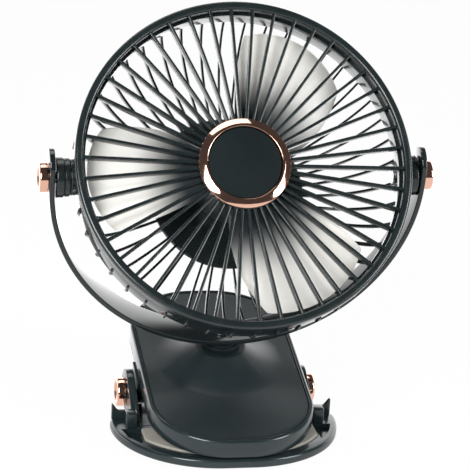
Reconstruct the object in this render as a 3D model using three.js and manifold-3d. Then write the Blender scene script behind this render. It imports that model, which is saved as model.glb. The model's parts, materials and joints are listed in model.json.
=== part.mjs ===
// Clip fan: a round caged fan head on a swivelling yoke, standing on a spring clip.
// Sizes are in millimetres and degrees. X runs to the right, Y to the back, Z up.
// The origin is on the ground, straight below the clip's hinge.
import * as THREE from 'three';
import { mergeVertices } from 'three/addons/utils/BufferGeometryUtils.js';
import Module from 'manifold-3d';

const wasm = await Module();
wasm.setup();

// ---- clearances ----
const GAP = 0.3; // between pieces that rest on each other
const RUN = 0.4; // round a pin or shaft that turns

// ---- cage: front grille ----
const guardRadius = 83;
const guardFront = 24; // tilt axis to the front face of the rim
const rimWidth = 4.4;
const rimDepth = 6;
const rimRound = 1.3;
const skirtDepth = 3.5;
const skirtWall = 1.8;
const spokeCount = 46;
const spokePhase = 5.4;
const spokeWidth = 1.5;
const spokeDepth = 4.6;
const spokeSink = 0.7; // rim's face to the spokes' top
const spokeRoot = 1.5; // the spokes run this far under the hub
const spokeRootSink = 0.2;
const spokeDrop = 2.6; // how much deeper the spokes lie at the hub than at the rim
const hubRadius = 22.7;
const hubPlateThickness = 3.4;
const hubRingWidth = 4.5;
const hubRingHeight = 2.4;
const hubInnerSlope = 1.98;
const hubInnerDrop = 1.26;
const hubBevel = 0.9;
const hubDiscThickness = 1.4;

// ---- cage: rear grille ----
const ribSeat = 1.32; // the ribs lie this deep in the wall's outside
const wallThickness = 2.2;
const wallInset = 1.4; // the wall stands this far inside the front rim
const wallDepth = 14.7;
const ribWidth = 1.6;
const ribThickness = 2.6;
const ribStart = 8.6; // the ribs start this far behind the wall's front edge
const ribOverlap = 4; // length of each rib on the motor mount
const ribStand = 1.3; // the ribs stand out this far from the wall
const ribElbow = 1.2; // bevel at the ribs' front ends
const ribLean = 4; // how far a rib leans in by the depth of its bend
const ribBend = 21; // the bend begins this far inside the ribs' outer edge
const ribDrop = 16; // depth of the bend behind the wall
const mountRadius = 39;
const mountThickness = 2.6;
const mountDepth = 31; // tilt axis to the rear face of the motor mount
const lugWidth = 19;
const lugReach = 9; // the side lugs reach this far to each side of the tilt axis
const lugThickness = 3;

// ---- motor and impeller ----
const motorRadius = 16;
const motorLength = 17;
const motorNeckRadius = 5;
const motorNeckLength = 2.4;
const motorScrewCircle = 10;
const motorScrewDepth = 4;
const motorScrewRadius = 1.3;
const motorScrewHead = 2.5;
const motorScrewCount = 3;
const shaftRadius = 1.6;
const shaftEnd = 0.8; // the shaft stands out this far from its nut
const bladeCount = 3;
const bladePhase = 55;
const bladeClearance = 4.4; // blade tips to the wall of the cage
const bladeOverlap = 2.5; // length of each blade inside the hub's outer face
const bladeCorner = 5; // the corners of a blade stay this far inside its tip circle
const bladeSweep = 7; // the tip is turned on from the root by this angle
const bladeCamber = 2.2;
const bladeSpanTip = 46;
const bladeSpanRoot = 80;
const bladeThickness = 1.8;
const bladeRise = 15; // from the trailing edge to the leading edge, along the axis
const bladeMiddle = 4; // middle of the blades in front of the tilt axis
const impellerHubRadius = 19.5;
const impellerHubLength = 13;
const impellerHubRound = 1.5;
const impellerHubWall = 2;
const impellerBoss = 4.6;
const nutRadius = 3.6;
const nutHeight = 3;

// ---- rear cover with its switch ----
const coverRadius = 30;
const coverHeight = 10.5;
const coverWall = 2;
const coverRound = 6;
const buttonRadius = 6.5;
const buttonProud = 1.2;
const buttonBevel = 0.6;
const buttonFlange = 1.1;
const buttonLip = 1.2; // the flange is this much wider than the button all round
const buttonTravel = 1.0;
const switchBoardSize = 26;
const switchBoardThickness = 1.2;
const switchSize = 6;
const coverScrewCircle = 22;
const coverScrewRadius = 1.1;
const coverScrewHead = 2.1;

// ---- yoke ----
const armGap = 7.9; // from the cage to each arm
const yokeThickness = 2.6;
const yokeWidth = 18.6;
const yokeSides = 36; // flats round the half circle
const yokeRise = 5.8; // straight length of the arms above the tilt axis
const tiltBossRadius = 10;
const tiltBossStep = 0.4;
const tiltGroove = 0.5;
const tiltGrooveWidth = 0.8;
const tiltBossBevel = 0.6;
const pivotPinRadius = 2.5;
const pivotHeadRadius = 4.2;
const pivotHeadThickness = 1.5;
const capRadius = 7.5;
const capHeight = 4.3;
const capBevel = 1;
const capRecess = 0.7;
const capBore = 2.6; // depth of the blind hole that takes the pin's end

// ---- swivel under the yoke ----
const footRadius = 8;
const footHeight = 0.6;
const collarNeckRadius = 8.4;
const collarNeckHeight = 1.3;
const collarRadius = 9.8;
const collarBevel = 0.78;
const collarHeight = 2.6;
const swivelPinRadius = 2.4;
const swivelHeadRadius = 4.6;
const swivelPinEnd = 0.8; // the bolt stands out of its nut
const swivelHeadBrim = 0.78;
const swivelHeadHeight = 1.3;
const swivelNutRadius = 4.4;
const swivelNutHeight = 2.6;
const washerRadius = 5.2;
const washerThickness = 0.8;

// ---- clip: upper jaw ----
const jawAngle = 12; // the closed upper jaw rises this much to the rear
const hingeHeight = 10.5;
const jawHalfWidth = 41.8;
const jawFront = 76.6; // hinge to the front tip
const jawRear = 63.5;
const jawCorner = 36.5;
const jawTop = 21.5; // hinge axis to the top of the rim
const jawBottom = 11.8; // hinge axis to the underside
const jawWall = 2.2;
const jawRound = 1.4;
const ledgeWidth = 2;
const ledgeHeight = 1.4;
const panelThickness = 2;
const panelSink = 0.4;
const swivelOffset = -3; // swivel axis behind the hinge
const moundTop = 12.5;
const moundFoot = 34;
const moundHeight = 9.2;
const moundCurve = 1.4; // 1 gives a plain cone, more a softer foot
const moundSteps = 4;
const moundSides = 32;
const moundWall = 2;
const coverThickness = 2;
const lugRadius = 5.6;
const lugRoom = 1.2; // space round the lugs in the lower jaw
const lugFlare = 5; // the lugs widen this much to each side at the cover
const jawLugWidth = 4;
const jawLugGap = 0.8; // between the jaw's lugs and the ears of the lower jaw
const padLength = 24;
const padFront = 66;
const padHalfWidth = 27;
const lowerPadHalfWidth = 44;
const lowerPadMargin = 5; // the lower pad runs this far behind the upper
const lowerPadInset = 7; // the pad's front edge lies this far inside the tray's
const upperPadEdge = 0.8; // least thickness, at the nose
const batteryLength = 46;
const batteryWidth = 54;
const batteryThickness = 4;
const batteryMiddle = -36;
const boardLength = 20;
const boardWidth = 34;
const boardThickness = 1.2;
const boardMiddle = 46;
const socketWidth = 9;
const socketHeight = 3.2;
const socketLength = 7.4;
const socketWall = 0.45;
const socketSet = 0.8; // mouth of the socket inside the rear face
const socketBack = 1.2;
const socketTongueShare = 0.68; // width of the tongue against the socket's
const socketTongue = 0.7;
const lampRadius = 1.3;
const lampOffset = 9.5;
const lampSink = 0.9;
const lampLength = 4;
const jawScrewRadius = 1.2;
const jawScrewHead = 2.3;
const jawScrewSpare = 1.5; // depth of the hole beyond the screw's end
const jawScrewLength = 5;
const jawPost = 3; // half width of the posts that take the cover screws
const jawScrewX = 32.5;
const jawScrewY = 30;

// ---- clip: lower jaw ----
const trayHalfWidth = 58;
const trayFront = 78;
const trayRear = 19;
const trayCorner = 51;
const trayRearCorner = 7;
const trayOverlap = 9; // the bridge and the handle run this far into the tray
const trayBottom = 0.6;
const trayTop = 5.2;
const trayRound = 1.2;
const bridgeRear = 9;
const handleHalfWidth = 33;
const handleRear = 61;
const handleCorner = 16;
const padRecess = 0.7;
const lowerPadThickness = 1.5;
const pocketDepth = 2.4;
const pocketRear = 36; // hinge to the rear end of the pockets
const pocketLength = 18;
const pocketEdge = 3.3; // width of the lip outside each pocket
const pocketRib = 1.2; // between each pocket and the pad
const gussetWidth = 3.8;
const gussetLength = 7;
const gussetHeight = 12.5;
const earThickness = 4;
const earInner = 43.2;
const earRadius = 12;
const earFront = 34; // hinge to the toe of each ear
const earArc = 130; // round part of the ear's top
const hornHeight = 13.6;
const hornSet = 0.6; // the horns stand this far in front of the tray's rear edge
const hornTip = 3.2; // width of each horn above its low part
const hornLow = 9;
const hornShoulder = 0.6; // share of the horn's rise at which its tip widens
const hornThickness = 2.4;
const solePadThickness = 1.4;
const solePadInset = 4;
const hingePinRadius = 2;

// ---- clip: torsion springs ----
const springWire = 0.8; // radius of the wire
const springCoil = 3.9; // middle of the coil to the middle of the wire
const springTurns = 7; // whole turns, before the part turn between the legs
const springPitch = 2.25;
const springInset = 11; // middle of the clip to the first turn
const springLeg = 19;
const springLegAngle = 30;
const springSteps = 8;
const springSides = 5;

// ---- colours from the photograph ----
const darkShell = { color: 0x262c2e, roughness: 0.42, metalness: 0 };
const darkPanel = { color: 0x2c383c, roughness: 0.3, metalness: 0 };
const roseGold = { color: 0xd79c7c, roughness: 0.2, metalness: 1 };
const steel = { color: 0xa9adb0, roughness: 0.3, metalness: 1 };
const black = { color: 0x0d0e0f, roughness: 0.6, metalness: 0 };
const cream = { color: 0xe9e7df, roughness: 0.35, metalness: 0 };
const greyRubber = { color: 0xa8a59c, roughness: 0.8, metalness: 0 };
const boardGreen = { color: 0x1f5a3a, roughness: 0.5, metalness: 0 };
const foil = { color: 0xb9bcc2, roughness: 0.35, metalness: 0.8 };
const clearLens = { color: 0xdfeaf2, roughness: 0.1, metalness: 0 };

const DEG = Math.PI / 180;
const ROUND = 48; // sides of the large rings
const MIDDLING = 28; // sides of caps and bosses
const FINE = 20; // sides of the small round pieces
const THIN = 16; // sides of thin rods
const SMALL = 12; // sides of screws and their holes
const HEX = 6;
const CURVE = 6; // steps of a drawn curve
const LONG_CURVE = 8;
const QUARTER = 90;
const TURN = 360;

// ---- solids ----

// A closed solid from a geometry: only positions, with shared corners merged.
function solid(geometry) {
  const bare = geometry.index ? geometry.toNonIndexed() : geometry.clone();
  bare.deleteAttribute('normal');
  bare.deleteAttribute('uv');
  const merged = mergeVertices(bare, 1e-5);
  const index = merged.index.array;
  const triangles = [];
  for (let i = 0; i < index.length; i += 3) {
    const [a, b, c] = [index[i], index[i + 1], index[i + 2]];
    if (a !== b && b !== c && c !== a) triangles.push(a, b, c);
  }
  return new wasm.Manifold(new wasm.Mesh({
    numProp: 3,
    vertProperties: new Float32Array(merged.attributes.position.array),
    triVerts: new Uint32Array(triangles),
  }));
}

function toGeometry(body) {
  const mesh = body.getMesh();
  const geometry = new THREE.BufferGeometry();
  geometry.setAttribute('position', new THREE.BufferAttribute(new Float32Array(mesh.vertProperties), 3));
  geometry.setIndex(new THREE.BufferAttribute(new Uint32Array(mesh.triVerts), 1));
  return geometry;
}

const join = (bodies) => bodies.reduce((sum, body) => sum.add(body));
const cut = (body, tools) => tools.reduce((rest, tool) => rest.subtract(tool), body);

// A solid turned about Z from a closed outline of [radius, height] corners.
function turned(outline, sides = FINE) {
  const points = [...outline, outline[0]].map(([r, z]) => new THREE.Vector2(r, z));
  return new THREE.LatheGeometry(points, sides).rotateX(Math.PI / 2);
}

// A plain disc or ring, from z0 up to z1.
function ring(outer, inner, z0, z1, sides = FINE) {
  return turned([[inner, z0], [outer, z0], [outer, z1], [inner, z1]], sides);
}

// A shape drawn in X and Y, standing from z0 to z1.
function prism(shape, z0, z1, round = 0, curve = 4) {
  const geometry = new THREE.ExtrudeGeometry(shape, {
    depth: z1 - z0 - 2 * round,
    curveSegments: curve,
    bevelEnabled: round > 0,
    bevelThickness: round,
    bevelSize: round,
    bevelOffset: -round,
    bevelSegments: 1,
  });
  return geometry.translate(0, 0, z0 + round);
}

// A shape drawn in Y and Z, standing from x0 to x1.
function sidePrism(shape, x0, x1, curve = 4) {
  const depth = x1 - x0;
  const geometry = new THREE.ExtrudeGeometry(shape, { depth, curveSegments: curve, bevelEnabled: false });
  return geometry.rotateZ(Math.PI / 2).rotateY(Math.PI / 2).translate(x0, 0, 0);
}

function polygon(corners) {
  return new THREE.Shape(corners.map(([x, y]) => new THREE.Vector2(x, y)));
}

function box(x0, x1, y0, y1, z0, z1) {
  const geometry = new THREE.BoxGeometry(x1 - x0, y1 - y0, z1 - z0);
  return geometry.translate((x0 + x1) / 2, (y0 + y1) / 2, (z0 + z1) / 2);
}

// A round bar or hole along Z.
function bar(radius, z0, z1, sides = FINE) {
  const geometry = new THREE.CylinderGeometry(radius, radius, z1 - z0, sides);
  return geometry.rotateX(Math.PI / 2).translate(0, 0, (z0 + z1) / 2);
}

// A ring of the cage has one flat to each spoke, with the spoke in its middle.
function cageRing(outline) {
  const turn = (spokePhase + TURN / 2 / spokeCount + QUARTER) * DEG;
  return turned(outline, spokeCount).rotateZ(turn);
}

const alongX = (geometry) => geometry.rotateY(Math.PI / 2);
const mirrorX = (side, x0, x1) => (side > 0 ? [x0, x1] : [-x1, -x0]);

// A straight-sided outline with round corners: front and rear are along Y.
function paddle(halfWidth, front, rear, frontCorner, rearCorner) {
  const shape = new THREE.Shape();
  const quarter = Math.PI / 2;
  shape.absarc(halfWidth - frontCorner, front + frontCorner, frontCorner, -quarter, 0, false);
  shape.absarc(halfWidth - rearCorner, rear - rearCorner, rearCorner, 0, quarter, false);
  shape.absarc(-halfWidth + rearCorner, rear - rearCorner, rearCorner, quarter, 2 * quarter, false);
  shape.absarc(-halfWidth + frontCorner, front + frontCorner, frontCorner, 2 * quarter, 3 * quarter, false);
  shape.closePath();
  return shape;
}

// A closed tube along a line of points, with flat ends.
function wire(points, radius, sides) {
  const positions = [];
  let across = null;
  points.forEach((point, i) => {
    const before = points[Math.max(i - 1, 0)];
    const after = points[Math.min(i + 1, points.length - 1)];
    const ahead = after.clone().sub(before).normalize();
    if (!across) across = new THREE.Vector3(1, 0, 0);
    across = across.clone().addScaledVector(ahead, -across.dot(ahead)).normalize();
    const up = ahead.clone().cross(across);
    for (let s = 0; s < sides; s += 1) {
      const turn = (2 * Math.PI * s) / sides;
      positions.push(point.clone()
        .addScaledVector(across, radius * Math.cos(turn))
        .addScaledVector(up, radius * Math.sin(turn)));
    }
  });
  positions.push(points[0], points[points.length - 1]);
  const index = [];
  const last = points.length - 1;
  for (let i = 0; i < last; i += 1) {
    for (let s = 0; s < sides; s += 1) {
      const next = (s + 1) % sides;
      const [a, b] = [i * sides + s, i * sides + next];
      const [c, d] = [a + sides, b + sides];
      index.push(a, b, d, a, d, c);
    }
  }
  for (let s = 0; s < sides; s += 1) {
    const next = (s + 1) % sides;
    index.push(positions.length - 2, next, s);
    index.push(positions.length - 1, last * sides + s, last * sides + next);
  }
  const geometry = new THREE.BufferGeometry();
  const values = positions.flatMap((p) => [p.x, p.y, p.z]);
  geometry.setAttribute('position', new THREE.BufferAttribute(new Float32Array(values), 3));
  geometry.setIndex(index);
  return geometry;
}

function mesh(name, shape, look) {
  const geometry = shape.isBufferGeometry ? toGeometry(solid(shape)) : toGeometry(shape);
  const piece = new THREE.Mesh(geometry, new THREE.MeshStandardMaterial(look));
  piece.name = name;
  return piece;
}

// =====================================================================
// Head. Drawn with its axis along Z, the front face up; the tilt axis is X.
// =====================================================================
const head = new THREE.Group();
const wallOuter = guardRadius - wallInset;
const wallInner = wallOuter - wallThickness;
const cageReach = wallOuter + ribStand;
const yokeInner = cageReach + armGap;
const yokeOuter = yokeInner + yokeThickness;
const bladeTip = wallInner - bladeClearance;
const bladeRoot = impellerHubRadius - bladeOverlap;
const rimBack = guardFront - rimDepth;
const wallFront = rimBack - GAP;
const wallBack = wallFront - wallDepth;
const spokeTop = guardFront - spokeSink;
const hubTop = spokeTop - spokeDrop;
const hubBack = hubTop - hubPlateThickness;

function frontGrille() {
  const inner = guardRadius - rimWidth;
  const skirtOuter = wallInner - GAP;
  const rim = cageRing([
    [skirtOuter - skirtWall, rimBack - skirtDepth],
    [skirtOuter, rimBack - skirtDepth],
    [skirtOuter, rimBack],
    [guardRadius, rimBack],
    [guardRadius, guardFront - rimRound],
    [guardRadius - rimRound, guardFront],
    [inner + rimRound, guardFront],
    [inner, guardFront - rimRound],
    [inner, rimBack],
    [skirtOuter - skirtWall, rimBack],
  ]);
  const root = hubRadius - spokeRoot;
  const rootTop = hubTop - spokeRootSink;
  const end = inner + 0.5 * rimWidth;
  const side = polygon([
    [root, rootTop],
    [end, spokeTop],
    [end, spokeTop - spokeDepth],
    [root, rootTop - spokeDepth],
  ]);
  const spoke = new THREE.ExtrudeGeometry(side, { depth: spokeWidth, bevelEnabled: false });
  spoke.translate(0, 0, -spokeWidth / 2).rotateX(Math.PI / 2);
  const spokes = [];
  for (let i = 0; i < spokeCount; i += 1) {
    const turn = (spokePhase + (TURN * i) / spokeCount) * DEG;
    spokes.push(solid(spoke.clone().rotateZ(turn)));
  }
  const plate = solid(bar(hubRadius, hubBack - spokeDepth + hubPlateThickness, hubTop, ROUND));
  return join([solid(rim), plate, ...spokes]);
}

function hubRing() {
  const base = hubTop + GAP;
  const top = base + hubRingHeight;
  const inner = hubRadius - hubRingWidth;
  return turned([
    [inner, base],
    [hubRadius, base],
    [hubRadius, top - hubBevel],
    [hubRadius - hubBevel, top],
    [inner + hubInnerSlope, top],
    [inner, top - hubInnerDrop],
  ], ROUND);
}

function hubDisc() {
  const base = hubTop + GAP;
  return bar(hubRadius - hubRingWidth - GAP, base, base + hubDiscThickness, ROUND);
}

// The rear grille: a round wall, ribs that bend in behind it, and the motor mount.
function rearGrille() {
  const wall = solid(cageRing([
    [wallInner, wallBack],
    [wallOuter, wallBack],
    [wallOuter, wallFront],
    [wallInner, wallFront],
  ]));
  const face = mountThickness - mountDepth;
  const mount = solid(ring(mountRadius, shaftRadius + RUN + 2, -mountDepth, face, ROUND));
  const top = wallFront - ribStart;
  const out = cageReach;
  const elbow = wallBack - 0.5;
  const side = new THREE.Shape();
  const root = mountRadius - ribOverlap;
  const mountFace = ribThickness - mountDepth;
  side.moveTo(wallOuter - ribSeat, top);
  side.lineTo(out - 0.5 * ribElbow, top);
  side.lineTo(out, top - ribElbow);
  side.lineTo(out, elbow);
  side.bezierCurveTo(out - ribLean, elbow - ribDrop, out - ribBend, -mountDepth, root, -mountDepth);
  side.lineTo(root, mountFace);
  side.bezierCurveTo(
    out - ribBend,
    mountFace,
    out - ribThickness - ribLean,
    elbow - ribDrop + ribThickness,
    out - ribThickness,
    elbow,
  );
  side.lineTo(wallOuter - ribSeat, elbow + 1);
  side.closePath();
  const rib = new THREE.ExtrudeGeometry(side, { depth: ribWidth, curveSegments: 2, bevelEnabled: false });
  rib.translate(0, 0, -ribWidth / 2).rotateX(Math.PI / 2);
  const ribs = [];
  for (let i = 0; i < spokeCount; i += 1) {
    const turn = (spokePhase + (TURN * i) / spokeCount) * DEG;
    ribs.push(solid(rib.clone().rotateZ(turn)));
  }
  const lugs = [1, -1].map((side_) => {
    const [x0, x1] = mirrorX(side_, cageReach - lugThickness, cageReach);
    return solid(box(x0, x1, -lugWidth / 2, lugWidth / 2, -lugReach, lugReach));
  });
  const holes = [1, -1].map((side_) => {
    const [x0, x1] = mirrorX(side_, bladeTip, yokeInner);
    return solid(alongX(bar(pivotPinRadius + RUN, x0, x1)));
  });
  const pinSeats = [1, -1].map((side_) => {
    const [x0, x1] = mirrorX(side_, bladeTip, cageReach - lugThickness);
    return solid(alongX(bar(pivotHeadRadius + RUN, x0, x1)));
  });
  const screwHoles = [];
  for (let i = 0; i < motorScrewCount; i += 1) {
    const turn = (TURN * i * DEG) / motorScrewCount;
    const hole = bar(motorScrewRadius + GAP, -mountDepth - 1, mountThickness - mountDepth + 1, SMALL);
    screwHoles.push(solid(hole.translate(motorScrewCircle, 0, 0).rotateZ(turn)));
  }
  const coverHoles = [1, -1].map((side_) => {
    const hole = bar(coverScrewRadius + GAP, -mountDepth - 1, mountThickness - mountDepth + 1, SMALL);
    return solid(hole.translate(side_ * coverScrewCircle, 0, 0));
  });
  return cut(join([wall, mount, ...ribs, ...lugs]), [...holes, ...pinSeats, ...screwHoles, ...coverHoles]);
}

const motorBack = mountThickness - mountDepth + GAP;
const motorFront = motorBack + motorLength;

function motorCan() {
  const body = turned([
    [shaftRadius + RUN, motorBack],
    [motorRadius, motorBack],
    [motorRadius, motorFront - 1],
    [motorRadius - 1, motorFront],
    [motorNeckRadius, motorFront],
    [motorNeckRadius, motorFront + motorNeckLength],
    [shaftRadius + RUN, motorFront + motorNeckLength],
  ], MIDDLING);
  const threads = [];
  for (let i = 0; i < motorScrewCount; i += 1) {
    const hole = bar(motorScrewRadius + GAP, motorBack - 1, motorBack + motorScrewDepth, SMALL);
    threads.push(solid(hole.translate(motorScrewCircle, 0, 0).rotateZ((TURN * i * DEG) / motorScrewCount)));
  }
  return cut(solid(body), threads);
}

const screwDome = 0.62; // height and flat of a screw's head against its radius
const screwBrim = 0.45;

// A round-headed screw standing on z = 0, its thread pointing up.
function screw(radius, headRadius, length) {
  const headHeight = screwDome * headRadius;
  return turned([
    [0, -headHeight],
    [screwDome * headRadius, -headHeight],
    [headRadius, -screwBrim * headHeight],
    [headRadius, 0],
    [radius, 0],
    [radius, length],
    [0, length],
  ], SMALL);
}

const shaftBack = motorBack + 2;
const hubCupFront = bladeMiddle + impellerHubLength / 2;
const shaftFront = hubCupFront + GAP + nutHeight + shaftEnd;
const hubCupBack = bladeMiddle - impellerHubLength / 2;

// One blade: a twisted sheet that widens to the tip, closed all round.
function blade(turn) {
  const along = 6;
  const across = 6;
  const rows = [];
  for (let face = 0; face < 2; face += 1) {
    for (let i = 0; i <= along; i += 1) {
      const u = i / along;
      const radius = bladeRoot + (bladeTip - bladeRoot) * u;
      const span = bladeSpanRoot + (bladeSpanTip - bladeSpanRoot) * u;
      for (let j = 0; j <= across; j += 1) {
        const v = j / across - 0.5;
        const edge = radius - Math.max(0, 2 * u - 1) * bladeCorner * (2 * v) ** 2;
        const angle = (turn + span * v + bladeSweep * u) * DEG;
        const camber = bladeCamber * (1 - 4 * v * v);
        const z = bladeMiddle + bladeRise * v * (1 - 0.25 * u) + camber + (face - 0.5) * bladeThickness;
        rows.push(new THREE.Vector3(edge * Math.cos(angle), edge * Math.sin(angle), z));
      }
    }
  }
  const wide = across + 1;
  const layer = wide * (along + 1);
  const index = [];
  const quad = (a, b, c, d) => index.push(a, b, c, a, c, d);
  for (let i = 0; i < along; i += 1) {
    for (let j = 0; j < across; j += 1) {
      const a = i * wide + j;
      quad(a, a + 1, a + wide + 1, a + wide);
      quad(layer + a, layer + a + wide, layer + a + wide + 1, layer + a + 1);
    }
    const start = i * wide;
    quad(start, start + wide, layer + start + wide, layer + start);
    const end = start + across;
    quad(end + wide, end, layer + end, layer + end + wide);
  }
  for (let j = 0; j < across; j += 1) {
    quad(j + 1, j, layer + j, layer + j + 1);
    const tip = along * wide + j;
    quad(tip, tip + 1, layer + tip + 1, layer + tip);
  }
  const geometry = new THREE.BufferGeometry();
  const values = rows.flatMap((p) => [p.x, p.y, p.z]);
  geometry.setAttribute('position', new THREE.BufferAttribute(new Float32Array(values), 3));
  geometry.setIndex(index);
  return geometry;
}

function impeller() {
  const cup = solid(turned([
    [shaftRadius + GAP, hubCupBack],
    [impellerBoss, hubCupBack],
    [impellerBoss, hubCupFront - impellerHubWall],
    [impellerHubRadius - impellerHubWall, hubCupFront - impellerHubWall],
    [impellerHubRadius - impellerHubWall, hubCupBack],
    [impellerHubRadius, hubCupBack],
    [impellerHubRadius, hubCupFront - impellerHubRound],
    [impellerHubRadius - impellerHubRound, hubCupFront],
    [shaftRadius + GAP, hubCupFront],
  ], MIDDLING));
  const coreRadius = impellerHubRadius - 0.5 * impellerHubWall;
  const core = solid(bar(coreRadius, hubCupBack - bladeRise, hubCupFront + bladeRise, MIDDLING));
  const blades = [];
  for (let i = 0; i < bladeCount; i += 1) {
    blades.push(solid(blade(bladePhase + (TURN * i) / bladeCount)).subtract(core));
  }
  return join([cup, ...blades]);
}

// The nut screws onto the shaft's end and holds the impeller.
function impellerNut() {
  const base = hubCupFront + GAP;
  return cut(solid(bar(nutRadius, base, base + nutHeight, HEX)), [
    solid(bar(shaftRadius + GAP, base - 1, base + nutHeight + 1, SMALL)),
  ]);
}

const coverFace = -mountDepth - GAP;
const coverBack = coverFace - coverHeight;

const coverLean = 0.27; // where the cover's round edge bends, as shares of its size
const coverBend = 0.4;

function rearCover() {
  const hole = buttonRadius + RUN;
  const shoulder = coverRadius - coverLean * coverRound;
  const shell = solid(turned([
    [hole, coverBack],
    [coverRadius - coverRound, coverBack],
    [shoulder, coverBack + coverBend * coverRound],
    [coverRadius, coverFace],
    [coverRadius - coverWall, coverFace],
    [shoulder - coverWall, coverBack + coverBend * (coverRound + coverWall)],
    [coverRadius - coverRound - coverBend * coverWall, coverBack + coverWall],
    [hole, coverBack + coverWall],
  ], MIDDLING));
  const posts = [1, -1].map((side) => {
    const post = bar(coverScrewRadius + 2, coverBack + 0.5 * coverWall, coverFace, SMALL);
    return solid(post.translate(side * coverScrewCircle, 0, 0));
  });
  const threads = [1, -1].map((side) => {
    const hole_ = bar(coverScrewRadius + GAP, coverBack + coverWall, coverFace + 1, SMALL);
    return solid(hole_.translate(side * coverScrewCircle, 0, 0));
  });
  return cut(join([shell, ...posts]), threads);
}

const boardBack = coverFace - motorScrewHead - switchBoardThickness;

function switchBoard() {
  const half = switchBoardSize / 2;
  return box(-half, half, -half, half, boardBack, boardBack + switchBoardThickness);
}

function switchBlock() {
  const half = switchSize / 2;
  const top = coverBack + coverWall + GAP + buttonFlange + buttonTravel + GAP;
  return box(-half, half, -half, half, top, boardBack - GAP);
}

function powerButton() {
  const flangeBack = coverBack + coverWall + GAP;
  return turned([
    [0, coverBack - buttonProud],
    [buttonRadius - buttonBevel, coverBack - buttonProud],
    [buttonRadius, coverBack - buttonProud + buttonBevel],
    [buttonRadius, flangeBack],
    [buttonRadius + buttonLip, flangeBack],
    [buttonRadius + buttonLip, flangeBack + buttonFlange],
    [0, flangeBack + buttonFlange],
  ], FINE);
}

// Reach of the yoke's inner face, which curves in beside a round piece of this radius.
function insideYoke(radius) {
  return Math.sqrt(yokeInner ** 2 - radius ** 2) * Math.cos(Math.PI / (2 * yokeSides));
}

const bossInner = cageReach + GAP;
const bossOuter = insideYoke(tiltBossRadius) - GAP;

// A stepped spacer between the cage and a yoke arm.
function tiltBoss(side) {
  const third = (bossOuter - bossInner) / 3;
  const small = tiltBossRadius - tiltBossStep;
  const bore = pivotPinRadius + RUN;
  const along = turned([
    [bore, bossInner],
    [small, bossInner],
    [small, bossInner + third],
    [small - tiltGroove, bossInner + third],
    [small - tiltGroove, bossInner + third + tiltGrooveWidth],
    [tiltBossRadius, bossInner + third + tiltGrooveWidth],
    [tiltBossRadius, bossOuter - tiltBossBevel],
    [tiltBossRadius - tiltBossBevel, bossOuter],
    [bore, bossOuter],
  ], MIDDLING);
  return along.rotateY((side * Math.PI) / 2);
}

function pivotPin(side) {
  const face = cageReach - lugThickness - GAP;
  const end = yokeInner + yokeThickness + GAP + capBore - GAP;
  const along = turned([
    [0, face - pivotHeadThickness],
    [pivotHeadRadius, face - pivotHeadThickness],
    [pivotHeadRadius, face],
    [pivotPinRadius, face],
    [pivotPinRadius, end],
    [0, end],
  ], FINE);
  return along.rotateY((side * Math.PI) / 2);
}

head.add(
  mesh('front_grille', frontGrille(), darkShell),
  mesh('hub_ring', hubRing(), roseGold),
  mesh('hub_disc', hubDisc(), darkPanel),
  mesh('rear_grille', rearGrille(), darkShell),
  mesh('motor_can', motorCan(), steel),
  mesh('motor_shaft', bar(shaftRadius, shaftBack, shaftFront, THIN), steel),
  mesh('impeller', impeller(), cream),
  mesh('impeller_nut', impellerNut(), steel),
  mesh('rear_cover', rearCover(), darkShell),
  mesh('switch_board', switchBoard(), boardGreen),
  mesh('power_switch', switchBlock(), black),
  mesh('power_button', powerButton(), roseGold),
  mesh('tilt_boss_right', tiltBoss(1), darkShell),
  mesh('tilt_boss_left', tiltBoss(-1), darkShell),
  mesh('pivot_pin_right', pivotPin(1), steel),
  mesh('pivot_pin_left', pivotPin(-1), steel),
);
for (let i = 0; i < motorScrewCount; i += 1) {
  const length = mountThickness + GAP + 3;
  const piece = mesh(`motor_screw_${i + 1}`, screw(motorScrewRadius, motorScrewHead, length), steel);
  const turn = (TURN * i * DEG) / motorScrewCount;
  const reach = motorScrewCircle;
  piece.position.set(reach * Math.cos(turn), reach * Math.sin(turn), -mountDepth - GAP);
  head.add(piece);
}
[['right', 1], ['left', -1]].forEach(([name, side]) => {
  const length = mountThickness + coverHeight - coverWall - 1;
  const piece = mesh(`cover_screw_${name}`, screw(coverScrewRadius, coverScrewHead, length), steel);
  piece.rotation.x = Math.PI;
  piece.position.set(side * coverScrewCircle, 0, mountThickness - mountDepth + GAP);
  head.add(piece);
});

// =====================================================================
// Yoke. Drawn round the tilt axis, with the swivel axis along Z.
// =====================================================================
const yokeGroup = new THREE.Group();
const footBottom = -yokeOuter - footHeight;

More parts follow.
